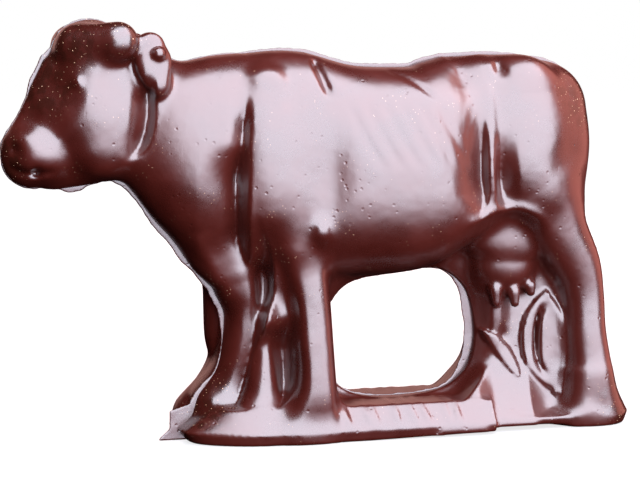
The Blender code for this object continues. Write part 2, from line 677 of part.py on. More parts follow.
def flash_mesh():
    """Thin plate that fills the section at the seam and stands out of it as the flash."""
    axes = [np.arange(REACH_LOW[k], REACH_HIGH[k] + OUTLINE_STEP, OUTLINE_STEP) for k in (0, 2)]
    x, z = np.broadcast_arrays(axes[0][:, None], axes[1][None, :])
    floor = REACH_LOW[2] + 0.5 * OUTLINE_STEP
    corners, edges = outline(np.maximum(flash_field(x, z), floor - z), axes)
    bm = bmesh.new()
    half = 0.5 * FLASH_THICKNESS * MM
    spots = [bm.verts.new((px, -half, pz)) for px, pz in np.round(corners * MM, 6).tolist()]
    rims = [bm.edges.new((spots[a], spots[b])) for a, b in edges.tolist()]
    bmesh.ops.triangle_fill(bm, use_beauty=True, use_dissolve=False, edges=rims)
    sheet = bmesh.ops.extrude_face_region(bm, geom=bm.faces[:])
    lifted = [item for item in sheet["geom"] if isinstance(item, bmesh.types.BMVert)]
    bmesh.ops.translate(bm, verts=lifted, vec=(0.0, 2 * half, 0.0))
    bmesh.ops.recalc_face_normals(bm, faces=bm.faces[:])
    mesh = bpy.data.meshes.new("flash_plate")
    bm.to_mesh(mesh)
    bm.free()
    return mesh


def ground_mesh():
    """Block whose top is the ground, cut away to leave the underside flat."""
    bm = bmesh.new()
    bmesh.ops.create_cube(bm, size=1.0)
    bmesh.ops.scale(bm, verts=bm.verts[:], vec=(0.2, 0.08, 0.01))
    bmesh.ops.translate(bm, verts=bm.verts[:], vec=(-0.015, 0.0, -0.005))
    mesh = bpy.data.meshes.new("ground_block")
    bm.to_mesh(mesh)
    bm.free()
    return mesh


def add_boolean(target, tool, operation):
    """Join or cut the target with a tool."""
    modifier = target.modifiers.new(tool.name, "BOOLEAN")
    modifier.operation = operation
    modifier.object = tool
    modifier.solver = "EXACT"


def build():
    """Make the cow."""
    for item in list(bpy.data.objects):
        bpy.data.objects.remove(item, do_unlink=True)
    mesh = casting_mesh()
    cow = new_object(NAME, mesh)
    mesh.materials.append(chocolate())
    thin = cow.modifiers.new("fewer_faces", "DECIMATE")
    thin.ratio = BODY_TRIANGLES / (2.0 * len(mesh.polygons))
    add_boolean(cow, new_object("flash_plate", flash_mesh(), hidden=True), "UNION")
    add_boolean(cow, new_object("ground_block", ground_mesh(), hidden=True), "DIFFERENCE")
    mesh.shade_smooth()


build()
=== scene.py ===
"""Look of a moulded chocolate cow standing on a low grassy base.

The figure was cast in a two-part mould that closes on the plane Y = 0. Its visible surface
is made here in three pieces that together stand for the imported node: the side that each
half of the mould formed, and the thin fin of flash squeezed out between them. The head
points to -X, the side seen first is -Y and +Z is up. Sizes are in millimetres until a mesh
is made.

The shape is a field: a number at each place, negative inside the chocolate. Bodies and
limbs are rings carried along a line in the side view, bones and muscles are ellipsoids,
and small folds are lines that raise or lower the sides. The surface is where the field
passes zero.
"""
import logging
import math
from dataclasses import dataclass
from enum import Enum
from typing import Any, Protocol

import bpy
import numpy as np
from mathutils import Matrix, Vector


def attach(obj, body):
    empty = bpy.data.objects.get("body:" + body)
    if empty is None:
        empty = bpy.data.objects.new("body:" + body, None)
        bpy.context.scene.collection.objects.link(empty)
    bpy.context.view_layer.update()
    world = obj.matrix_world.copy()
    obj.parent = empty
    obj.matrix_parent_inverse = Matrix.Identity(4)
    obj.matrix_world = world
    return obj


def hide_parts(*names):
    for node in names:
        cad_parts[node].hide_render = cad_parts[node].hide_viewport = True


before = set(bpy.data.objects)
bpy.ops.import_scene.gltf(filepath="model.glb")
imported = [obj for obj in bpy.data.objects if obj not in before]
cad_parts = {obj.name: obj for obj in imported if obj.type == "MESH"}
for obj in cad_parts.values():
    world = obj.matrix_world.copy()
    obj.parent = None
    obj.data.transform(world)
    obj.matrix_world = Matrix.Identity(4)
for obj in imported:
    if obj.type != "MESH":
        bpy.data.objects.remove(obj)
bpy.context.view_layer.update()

Array = np.ndarray
Point = tuple[float, ...]
Colour = tuple[float, float, float]

MM = 0.001
NODE = "cow"
BODY = "root"
LINE_SAMPLES = 24
log = logging.getLogger("chocolate_cow")


@dataclass(frozen=True)
class Place:
    """Places to ask a form about, in millimetres, as arrays that broadcast together."""

    x: Array
    y: Array
    z: Array

    def folded(self) -> "Place":
        """The same places with the far side folded onto the near side's mirror."""
        return Place(self.x, np.abs(self.y), self.z)

    def in_seam(self) -> "Place":
        """The same places moved into the seam plane."""
        return Place(self.x, np.zeros((1, 1, 1), np.float32), self.z)


class Form(Protocol):
    """Anything that has a field."""

    def field(self, at: Place) -> Array:
        """Return the field, negative inside, about the distance to the surface."""


def smooth_union(a: Array, b: Array, blend: float) -> Array:
    """Join two fields with a fillet.

    The smaller of the two, less a quarter of the blend times the square of how far the two
    overlap within the blend.

    Args:
        a: First field.
        b: Second field.
        blend: Width of the fillet.

    Returns:
        The joined field.
    """
    overlap = np.maximum(blend - np.abs(a - b), 0.0) / blend
    return np.minimum(a, b) - overlap * overlap * (blend * 0.25)


def ramp(low: float, high: float, value: Array) -> Array:
    """Rise smoothly from 0 at low to 1 at high: three t squared less two t cubed.

    Args:
        low: Value where the ramp is 0.
        high: Value where it is 1; it falls if this is the smaller.
        value: Where to read the ramp.

    Returns:
        Numbers from 0 to 1.
    """
    t = np.clip((value - low) / (high - low), 0.0, 1.0)
    return t * t * (3.0 - 2.0 * t)


def turned(at: Place, centre: Point, degrees: float) -> tuple[Array, Array]:
    """Measure places from a centre along axes turned in the side view.

    Args:
        at: Places.
        centre: x and z of the centre.
        degrees: Turn of the axes.

    Returns:
        Distance along the turned x axis and along the turned z axis.
    """
    c, s = math.cos(math.radians(degrees)), math.sin(math.radians(degrees))
    dx, dz = at.x - centre[0], at.z - centre[1]
    return c * dx + s * dz, -s * dx + c * dz


def smooth_line(points: Any, count: int) -> Array:
    """Pass a smooth line through points.

    Between two points it is the cubic that leaves and arrives with slopes equal to half the
    step from the point before to the point after.

    Args:
        points: Rows of numbers, x and z first.
        count: How many samples to return.

    Returns:
        Evenly spread samples, one to a row.
    """
    rows = np.asarray(points, dtype=float)
    slope = np.gradient(rows, axis=0)
    u = np.linspace(0.0, len(rows) - 1 - 1e-9, count)
    i = u.astype(int)
    t = (u - i)[:, None]
    start = (2 * t**3 - 3 * t**2 + 1) * rows[i] + (t**3 - 2 * t**2 + t) * slope[i]
    end = (3 * t**2 - 2 * t**3) * rows[i + 1] + (t**3 - t**2) * slope[i + 1]
    return start + end


def follow(at: Place, line: Array) -> tuple[Array, Array, list[Array]]:
    """Find the nearest place on a line in the side view.

    Args:
        at: Places; only x and z are read.
        line: Samples of the line: x, z and any other columns.

    Returns:
        The distance, the side (1 left of the line, -1 right of it, between the two beyond
        its ends), and the other columns at the nearest place.
    """
    best = np.full(np.broadcast(at.x, at.z).shape, 1e9, np.float32)
    side = np.zeros_like(best)
    columns = [np.zeros_like(best) for _ in range(line.shape[1] - 2)]
    for a, b in zip(line[:-1].tolist(), line[1:].tolist()):
        dx, dz = b[0] - a[0], b[1] - a[1]
        t = np.clip(((at.x - a[0]) * dx + (at.z - a[1]) * dz) / (dx * dx + dz * dz + 1e-12), 0.0, 1.0)
        away_x, away_z = at.x - (a[0] + t * dx), at.z - (a[1] + t * dz)
        distance = np.hypot(away_x, away_z)
        sine = (dx * away_z - dz * away_x) / (math.hypot(dx, dz) * distance + 1e-9)
        nearer = distance < best
        best = np.where(nearer, distance, best)
        side = np.where(nearer, sine, side)
        for n, (at_a, at_b) in enumerate(zip(a[2:], b[2:])):
            columns[n] = np.where(nearer, at_a + t * (at_b - at_a), columns[n])
    return best, side, columns


def waves(at: Place, size: float, seed: int) -> Array:
    """Soft irregular swell in the side view.

    The mean of seven sine waves in spread directions, with lengths around the size.

    Args:
        at: Places; only x and z are read.
        size: Typical distance from crest to crest.
        seed: Picks the directions and phases.

    Returns:
        Numbers roughly from -1 to 1.
    """
    chance = np.random.default_rng(seed)
    total = 0.0
    for k in range(7):
        angle = math.pi * (k + chance.random()) / 7
        length = size * (0.7 + 0.7 * chance.random())
        u = (at.x * math.cos(angle) + at.z * math.sin(angle)) * (2 * math.pi / length)
        total = total + np.sin(u + 6.28 * chance.random())
    return total / 3.2


@dataclass(frozen=True)
class Ring:
    """One ring of a limb: its place in the side view and its reach to each side."""

    x: float
    z: float
    left: float
    right: float
    half_width: float
    y: float = 0.0


@dataclass(frozen=True)
class Limb:
    """Rings carried along a smooth line in the side view; squareness 2 gives ellipses."""

    rings: tuple[Ring, ...]
    squareness: float
    samples: int = 40

    def field(self, at: Place) -> Array:
        """Field of the limb.

        Across the line the section is a superellipse of its reach in the side view and its
        half width along y. The field is the scaled radius less one, over its slope.

        Args:
            at: Places.

        Returns:
            The field there.
        """
        rows = [(r.x, r.z, r.left, r.right, r.half_width, r.y) for r in self.rings]
        distance, side, (left, right, wide, middle) = follow(at, smooth_line(rows, self.samples))
        reach = 0.5 * (left + right) + 0.5 * (left - right) * side
        m = self.squareness
        a, b = distance / reach, np.abs(at.y - middle) / wide
        rho = (a**m + b**m) ** (1 / m) + 1e-6
        slope = np.sqrt((a ** (m - 1) / reach) ** 2 + (b ** (m - 1) / wide) ** 2) * rho ** (1 - m)
        return (rho - 1) / np.maximum(slope, 0.6 / np.maximum(reach, wide))


@dataclass(frozen=True)
class Ball:
    """Ellipsoid that leans by a pitch in the side view."""

    centre: Point
    radii: Point
    pitch: float = 0.0

    def field(self, at: Place) -> Array:
        """Field of the ellipsoid: scaled radius times itself less one, over its slope.

        Args:
            at: Places.

        Returns:
            The field there.
        """
        u, v = turned(at, (self.centre[0], self.centre[2]), self.pitch)
        w = at.y - self.centre[1]
        p, q, r = self.radii
        scaled = np.sqrt((u / p) ** 2 + (w / q) ** 2 + (v / r) ** 2) + 1e-6
        slope = np.sqrt((u / p**2) ** 2 + (w / q**2) ** 2 + (v / r**2) ** 2) + 1e-6
        return scaled * (scaled - 1) / slope


@dataclass(frozen=True)
class Cone:
    """Cone with round ends."""

    start: Point
    end: Point
    start_radius: float
    end_radius: float

    def field(self, at: Place) -> Array:
        """Field of the cone: distance to its axis less the radius there.

        Args:
            at: Places.

        Returns:
            The field there.
        """
        a, b = self.start, self.end
        d = (b[0] - a[0], b[1] - a[1], b[2] - a[2])
        length = d[0] ** 2 + d[1] ** 2 + d[2] ** 2
        t = ((at.x - a[0]) * d[0] + (at.y - a[1]) * d[1] + (at.z - a[2]) * d[2]) / length
        t = np.clip(t, 0.0, 1.0)
        away = (at.x - a[0] - t * d[0]) ** 2 + (at.y - a[1] - t * d[1]) ** 2 + (at.z - a[2] - t * d[2]) ** 2
        return np.sqrt(away) - (self.start_radius + t * (self.end_radius - self.start_radius))


def beside(at: Place, points: tuple[Point, ...]) -> tuple[Array, Array, Array]:
    """Find the nearest place on a smooth line through points in the side view.

    Args:
        at: Places; only x and z are read.
        points: x and z of each point.

    Returns:
        The distance, the side as in follow, and how far along the line from 0 to 1.
    """
    line = smooth_line(points, LINE_SAMPLES)
    distance, side, (u,) = follow(at, np.hstack([line, np.linspace(0.0, 1.0, len(line))[:, None]]))
    return distance, side, u


def fading(u: Array, fade: float) -> Array:
    """Rise from nothing at both ends of a line.

    Args:
        u: How far along the line, from 0 to 1.
        fade: Share of the line that each rise takes.

    Returns:
        Numbers from 0 to 1.
    """
    return ramp(0.0, fade, u) * ramp(0.0, fade, 1.0 - u)


@dataclass(frozen=True)
class Fold:
    """A line in the side view where the surface rises (+) or sinks (-)."""

    height: float
    width: float
    points: tuple[Point, ...]
    fade: float = 0.25

    def share(self, at: Place) -> Array:
        """How much of the fold's height is there: a bell curve across the line, fading at its ends."""
        distance, _, u = beside(at, self.points)
        return np.exp(-((distance / self.width) ** 2)) * fading(u, self.fade)


@dataclass(frozen=True)
class Crease:
    """A line in the side view where the surface sinks (-) to a sharp bottom or rises to a crest."""

    height: float
    left: float
    right: float
    points: tuple[Point, ...]
    fade: float = 0.3
    rounding: float = 0.4

    def share(self, at: Place) -> Array:
        """How much of the crease's height is there.

        One less the distance from the line over the width on that side of it, to the power
        1.5, fading at both ends of the line.

        Args:
            at: Places; only x and z are read.

        Returns:
            Numbers from 0 to 1.
        """
        distance, side, u = beside(at, self.points)
        width = 0.5 * (self.left + self.right) + 0.5 * (self.left - self.right) * side
        t = (np.hypot(distance, self.rounding) - self.rounding) / width
        return np.clip(1.0 - t, 0.0, 1.0) ** 1.5 * fading(u, self.fade)


@dataclass(frozen=True)
class Blade:
    """A pointed leaf along a line in the side view, with crisp edges and a flat face."""

    height: float
    width: float
    points: tuple[Point, ...]

    def share(self, at: Place) -> Array:
        """How much of the blade's height is there.

        The half width is the root of a half sine wave along the line. The face rises
        from the edge over two fifths of it.

        Args:
            at: Places; only x and z are read.

        Returns:
            Numbers from 0 to 1.
        """
        distance, _, u = beside(at, self.points)
        half = self.width * np.sqrt(np.sin(math.pi * np.clip(u, 0.02, 0.98)))
        return ramp(0.0, 0.4, 1.0 - distance / half)


@dataclass(frozen=True)
class Dent:
    """A round rise (+) or hollow (-) in the side view, leaning by a pitch in degrees."""

    height: float
    x: float
    z: float
    radii: Point
    pitch: float = 0.0

    def share(self, at: Place) -> Array:
        """How much of the dent's height is there: a bell curve of the scaled radius."""
        u, v = turned(at, (self.x, self.z), self.pitch)
        return np.exp(-((u / self.radii[0]) ** 2 + (v / self.radii[1]) ** 2))


@dataclass(frozen=True)
class Torso:
    """Barrel, neck, brisket and rump, with the muscles of the shoulders and thighs."""

    barrel: Limb = Limb((
        Ring(-36, 55.0, 21.2, 17.0, 12.6),
        Ring(-27, 53.6, 23.0, 17.0, 13.6),
        Ring(-14, 52.0, 22.6, 19.4, 16.8),
        Ring(0, 51.0, 23.2, 18.4, 18.1),
        Ring(7, 51.2, 24.0, 16.0, 17.1),
        Ring(13, 51.8, 24.2, 13.0, 14.8),
        Ring(20, 53.4, 22.4, 9.4, 12.6),
    ), 2.6)
    neck: Limb = Limb((
        Ring(-57, 66.0, 9.6, 12.5, 7.6),
        Ring(-48, 61.0, 14.2, 11.8, 10.0),
        Ring(-39, 57.0, 19.2, 17.0, 12.2),
        Ring(-28, 53.6, 22.8, 22, 14.0),
    ), 2.4)
    brisket: Limb = Limb((
        Ring(-40, 50, 9, 6.6, 8.2),
        Ring(-39.4, 44, 9, 7.0, 8.0),
        Ring(-38.2, 38, 9, 6.4, 7.2),
        Ring(-35.6, 31.5, 8, 3.6, 5.6),
    ), 2.2)
    rump: Limb = Limb((
        Ring(14, 58, 17.6, 14, 13),
        Ring(22, 57.5, 18.2, 16, 12.6),
    ), 2.5)
    quarter: Limb = Limb((
        Ring(30.2, 65.8, 9.6, 9.2, 9.0),
        Ring(30.4, 58, 9.7, 9.6, 10.2),
        Ring(30.0, 48, 9.7, 9.6, 9.8),
    ), 2.3)
    shoulder: Limb = Limb((
        Ring(-30.2, 70, 4.4, 4.6, 5.0, 7.6),
        Ring(-29.2, 62, 5.2, 6.4, 7.0, 7.8),
        Ring(-28.6, 54, 5.2, 7.2, 7.6, 7.8),
        Ring(-27.8, 47.5, 4.8, 6.8, 7.5, 7.5),
        Ring(-26.2, 40, 4.4, 4.8, 6.4, 7.4),
    ), 2.6)
    thigh: Limb = Limb((
        Ring(23.6, 69, 7.5, 7.0, 6.0, 6.6),
        Ring(24.0, 61, 8.8, 7.6, 7.6, 6.6),
        Ring(24.2, 54, 6.4, 7.0, 8.2, 6.4),
        Ring(26.0, 49.5, 5.8, 6.6, 7.5, 6.2),
    ), 2.3)

    def field(self, at: Place) -> Array:
        """Field of the trunk, without the muscles.

        Args:
            at: Places.

        Returns:
            The field there.
        """
        d = smooth_union(self.barrel.field(at), self.neck.field(at), 6.0)
        d = smooth_union(d, self.brisket.field(at), 3.0)
        d = smooth_union(d, self.rump.field(at), 4.0)
        return smooth_union(d, self.quarter.field(at), 3.0)

    def add_muscles(self, at: Place, d: Array) -> Array:
        """Join the shoulders and the thighs to the field d."""
        d = smooth_union(d, self.shoulder.field(at.folded()), 1.8)
        return smooth_union(d, self.thigh.field(at.folded()), 3.0)


@dataclass(frozen=True)
class Head:
    """Head with its cheeks, bridge of the nose and muzzle, the horns and the ears."""

    skull: Limb = Limb((
        Ring(-56, 67, 13.5, 11.0, 8.8),
        Ring(-63, 61.5, 10.0, 16.2, 8.2),
        Ring(-70, 58.2, 7.8, 11.6, 5.8),
        Ring(-74.8, 56.8, 5.7, 5.7, 5.0),
    ), 1.9)
    face: Limb = Limb((
        Ring(-62.5, 75, 6.0, 7.8, 8.4),
        Ring(-66.5, 66.5, 7.0, 8.7, 8.8),
        Ring(-71.5, 58.5, 6.0, 6.8, 5.6),
    ), 1.3)
    cheek: Limb = Limb((
        Ring(-61.4, 72.5, 6.2, 7.2, 4.4, 4.6),
        Ring(-61.2, 66, 6.4, 7.8, 5.0, 5.0),
        Ring(-60.4, 60, 6.0, 7.2, 4.8, 5.2),
    ), 2.4)
    bridge: Cone = Cone((-66.4, 0, 78.0), (-77.7, 0, 59.4), 2.8, 2.2)
    muzzle: Ball = Ball((-73.6, 3.0, 57.8), (5.6, 4.4, 4.4), -35)
    poll: Ball = Ball((-63.2, 0, 77.6), (6.0, 6.5, 5.4), 12)
    horn: Cone = Cone((-66.2, 3.4, 78.3), (-59.2, 9.0, 79.0), 3.9, 3.9)
    ear: Limb = Limb((
        Ring(-53.0, 78.0, 3.0, 2.8, 2.2, 8.2),
        Ring(-52.4, 75.0, 3.6, 3.6, 2.6, 8.5),
        Ring(-52.0, 71.2, 2.6, 3.0, 2.7, 8.8),
    ), 3.2)
    ear_lobe: Ball = Ball((-51.4, 7.2, 70.8), (2.6, 2.8, 3.2))
    ear_knob: Ball = Ball((-51.7, 10.9, 76.8), (1.3, 1.2, 1.3))

    def field(self, at: Place) -> Array:
        """Field of the head without its horns and ears.

        Args:
            at: Places.

        Returns:
            The field there.
        """
        d = smooth_union(self.skull.field(at), self.face.field(at), 3.0)
        d = smooth_union(d, self.cheek.field(at.folded()), 3.5)
        d = smooth_union(d, self.bridge.field(at), 2.0)
        return smooth_union(d, self.muzzle.field(at.folded()), 2.5)

    def add_horns_and_ears(self, at: Place, d: Array) -> Array:
        """Join the poll, the stubs of the horns and the ears.

        Args:
            at: Places.
            d: Field of what they join.

        Returns:
            The joined field.
        """
        side = at.folded()
        d = smooth_union(d, self.poll.field(at), 3.0)
        d = smooth_union(d, self.horn.field(side), 2.0)
        ear = smooth_union(self.ear.field(side), self.ear_lobe.field(side), 1.6)
        return smooth_union(d, smooth_union(ear, self.ear_knob.field(side), 0.8), 1.2)


@dataclass(frozen=True)
class Legs:
    """The four legs and the tuft between the forelegs, each down into the mound."""

    near_fore: Limb = Limb((
        Ring(-25.8, 50, 7.4, 6.6, 8.4, -5.4),
        Ring(-24.6, 44, 6.6, 5.4, 8.0, -5.4),
        Ring(-24.0, 39, 6.2, 4.6, 7.9, -5.3),
        Ring(-23.1, 33, 5.8, 4.2, 7.8, -5.3),
        Ring(-22.2, 26, 5.4, 3.6, 7.8, -5.4),
        Ring(-21.4, 19, 5.0, 3.2, 7.8, -5.6),
        Ring(-21.0, 13, 5.0, 3.4, 7.8, -5.8),
        Ring(-21.0, 9, 5.4, 4.4, 7.8, -5.8),
        Ring(-21.5, 3, 6.5, 7.0, 7.6, -5.2),
    ), 2.9)
    inner_fore: Limb = Limb((
        Ring(-29.9, 25, 0.9, 0.9, 3.0, -2.4),
        Ring(-29.9, 20, 1.9, 1.9, 4.4, -2.4),
        Ring(-30.0, 14, 3.2, 3.0, 5.2, -2.4),
        Ring(-30.2, 8, 4.4, 4.2, 5.9, -2.4),
    ), 2.2)
    far_fore: Limb = Limb((
        Ring(-33, 44, 7.0, 7.0, 8.6, 4.6),
        Ring(-33.4, 33, 5.0, 4.4, 9.1, 2.7),
        Ring(-33.2, 26, 4.2, 3.8, 8.3, 2.7),
        Ring(-33.5, 19, 3.9, 4.0, 7.9, 2.95),
        Ring(-34.8, 13, 4.2, 4.2, 7.2, 3.4),
        Ring(-37.0, 7, 6.0, 6.2, 7.0, 3.6),
    ), 2.1)
    far_shin: Limb = Limb((
        Ring(-34.5, 34, 5.0, 5.0, 5.5, 6.5),
        Ring(-35.0, 27, 4.2, 4.4, 5.0, 6.4),
        Ring(-35.0, 20, 4.0, 4.2, 4.6, 6.4),
        Ring(-35.0, 15, 4.0, 3.6, 4.6, 6.2),
        Ring(-37.0, 9, 5.0, 4.6, 5.0, 6.0),
        Ring(-40.5, 4, 5.0, 5.5, 5.0, 5.8),
    ), 2.1)
    near_hind: Limb = Limb((
        Ring(27.5, 50, 9.0, 8.0, 8.4, -5.2),
        Ring(31.6, 41, 7.2, 6.0, 7.2, -4.8),
        Ring(36.6, 33.5, 5.4, 5.4, 6.4, -4.2),
        Ring(38.6, 27, 4.4, 4.7, 6.2, -3.7),
        Ring(39.2, 20, 4.2, 5.0, 6.4, -3.7),
        Ring(40.0, 14, 4.4, 5.4, 6.6, -3.8),
        Ring(40.2, 11.5, 4.8, 6.2, 7.0, -3.9),
        Ring(40.4, 7, 5.8, 6.6, 7.0, -3.8),
        Ring(41.0, 3, 6.6, 8.0, 7.0, -3.6),
    ), 2.4)
    far_hind: Limb = Limb((
        Ring(22, 50, 9.5, 8.4, 8.2, 6.0),
        Ring(19.8, 36, 6.4, 4.6, 8.2, 4.6),
        Ring(19.4, 27, 4.6, 3.0, 8.0, 3.0),
        Ring(20.0, 19, 3.8, 3.2, 7.6, 3.0),
        Ring(19.4, 12, 4.8, 4.4, 7.6, 3.2),
        Ring(18.0, 6, 7.0, 7.0, 8.0, 3.2),
    ), 2.1)

    def field(self, at: Place) -> Array:
        """Field of the nearest leg."""
        fore = (self.near_fore, self.inner_fore, self.far_fore, self.far_shin)
        return np.minimum.reduce([leg.field(at) for leg in (*fore, self.near_hind, self.far_hind)])


@dataclass(frozen=True)
class Web:
    """Sheet in the seam plane between the legs, pierced by the gap under the belly."""

    gap_centre: Point = (0.2, 19.4)
    gap_half: Point = (16.4, 14.0)
    gap_tilt: float = 8.0
    edge: float = 0.9
    taper: float = 0.4
    belly_taper: float = 0.9
    swell: float = 8.4
    swell_over: float = 7.0

    def field(self, at: Place) -> Array:
        """Field of the sheet.

        The gap is a superellipse of power 2.5. The sheet is thinnest at its edge and gets
        thicker away from it, ever more slowly, and most of all upward. Behind the gap it gets
        thicker downward and before the gap upward.

        Args:
            at: Places.

        Returns:
            The field there.
        """
        u, v = turned(at, self.gap_centre, self.gap_tilt)
        oval = (np.abs(u / self.gap_half[0]) ** 2.5 + np.abs(v / self.gap_half[1]) ** 2.5) ** 0.4
        from_gap = (oval - 1) * self.gap_half[1]
        taper = self.taper + self.belly_taper * ramp(2.0, 10.0, v) * ramp(16.0, 6.0, u)
        swelling = self.swell * (1.0 - np.exp(-np.maximum(from_gap, 0.0) / self.swell_over))
        thickness = self.edge + taper * swelling
        thickness = thickness + 0.07 * np.clip(28.0 - at.z, 0.0, 20.0) * ramp(12, 20, at.x)
        thickness = thickness + 0.08 * np.clip(at.z - 8.0, 0.0, 18.0) * ramp(-18, -22, at.x)
        rear = at.x - 36.0 + 0.3 * np.maximum(at.z - 28.0, 0.0)
        bounds = np.maximum(np.maximum(rear, -31.0 - at.x), np.abs(at.z - 24.0) - 20.0)
        return np.maximum(np.maximum(np.abs(at.y) - thickness, -from_gap), bounds)


@dataclass(frozen=True)
class Base:
    """Low mound with a rim, set back behind the hind legs on the near side."""

    middle: float = 1.2
    half_length: float = 47.6
    half_width: float = 12.8
    rear_half_width: float = 10.2
    setback_at: float = 17.4
    rim_height: float = 2.4
    undercut: float = 0.25
    crest_height: float = 6.8
    edge_lift: float = 0.9
    bank_from: float = 14.3
    bank_to: float = 26.3
    bank_height: float = 11.8
    bank_foot: float = 1.3
    bank_slope: float = 0.55

    def field(self, at: Place) -> Array:
        """Field of the mound.

        In plan it is a superellipse that tapers to both ends. Its sides slope from the flat
        crest to the rim, and the rim leans in towards the ground.

        Args:
            at: Places.

        Returns:
            The field there.
        """
        x, y, z = at.x, at.y, at.z
        front = self.half_width - 4.2 * ramp(-30, -50, x)
        near_rear = self.rear_half_width - 1.8 * ramp(34, 50, x)
        far_rear = front - 2.0 * ramp(34, 50, x)
        half = np.where(x < self.setback_at, front, np.where(y < 0, near_rear, far_rear))
        past_end = (np.abs(x - self.middle) / self.half_length) ** 9
        across = np.abs(y) / half
        plan = ((past_end + across**4) ** 0.25 - 1) * half * 0.8
        side = self.rim_height - 1.9 * plan
        scoop = 0.85 * ramp(18, 26, x) * ramp(43, 37, x)
        top = self.rim_height + (np.minimum(side, self.crest_height) - self.rim_height) * (1 - scoop)
        leaning = plan + self.undercut * np.maximum(self.rim_height - z, 0.0)
        d = np.maximum(leaning, (z - top) * 0.6)
        d = smooth_union(d, self.bank(at), 0.8)
        step = self.setback_at
        before = ramp(-12, 14, x) * ramp(step + 0.2, step - 0.2, x)
        behind = ramp(step - 0.2, step + 0.2, x) * (1 - 0.8 * ramp(28, 46, x))
        lift = (0.55 * before + behind) * self.edge_lift * ramp(-4, -9, y)
        return np.maximum(d, np.where(lift > 0.02, lift - z, -9.0))

    def bank(self, at: Place) -> Array:
        """Field of the steep bank under the leaves, with a straight edge at each side of its face.

        It leans back above its foot, and in towards the ground below it.

        Args:
            at: Places.

        Returns:
            The field there.
        """
        low, high = np.clip(at.x - self.bank_from, 0, 4.4), np.clip(at.x - self.bank_to, 0, 6)
        half = self.half_width - 0.55 * low - 0.9 * high
        rise = at.z - self.bank_foot
        leaning = np.where(rise > 0, self.bank_slope, -self.undercut) * rise
        face = (np.abs(at.y) - half + leaning) * 0.85
        top = self.bank_height - 0.9 * np.maximum(17 - at.x, 0)
        return np.maximum(face, np.maximum((at.z - top) * 0.75, at.x - 38))


@dataclass(frozen=True)
class Udder:
    """Udder with three pairs of teats."""

    bag: Limb = Limb((
        Ring(21.0, 44, 10.0, 10.0, 9.2),
        Ring(21.6, 38, 9.4, 9.4, 9.0),
        Ring(21.6, 34.5, 7.6, 7.6, 8.1),
    ), 2.3)
    teats: tuple[Point, ...] = ((18.9, 5.8, 28.8, 2.8), (22.9, 6.0, 28.2, 2.4), (26.8, 5.0, 29.2, 1.4))

    def add(self, at: Place, d: Array) -> Array:
        """Join the udder.

        Args:
            at: Places.
            d: Field of what it joins.

        Returns:
            The joined field.
        """
        d = smooth_union(d, self.bag.field(at), 2.0)
        for x, y, z, length in self.teats:
            teat = Cone((x, y, z), (x + 0.2, y + 0.2, z - length), 1.4, 0.9)
            d = smooth_union(d, teat.field(at.folded()), 1.0)
        return d


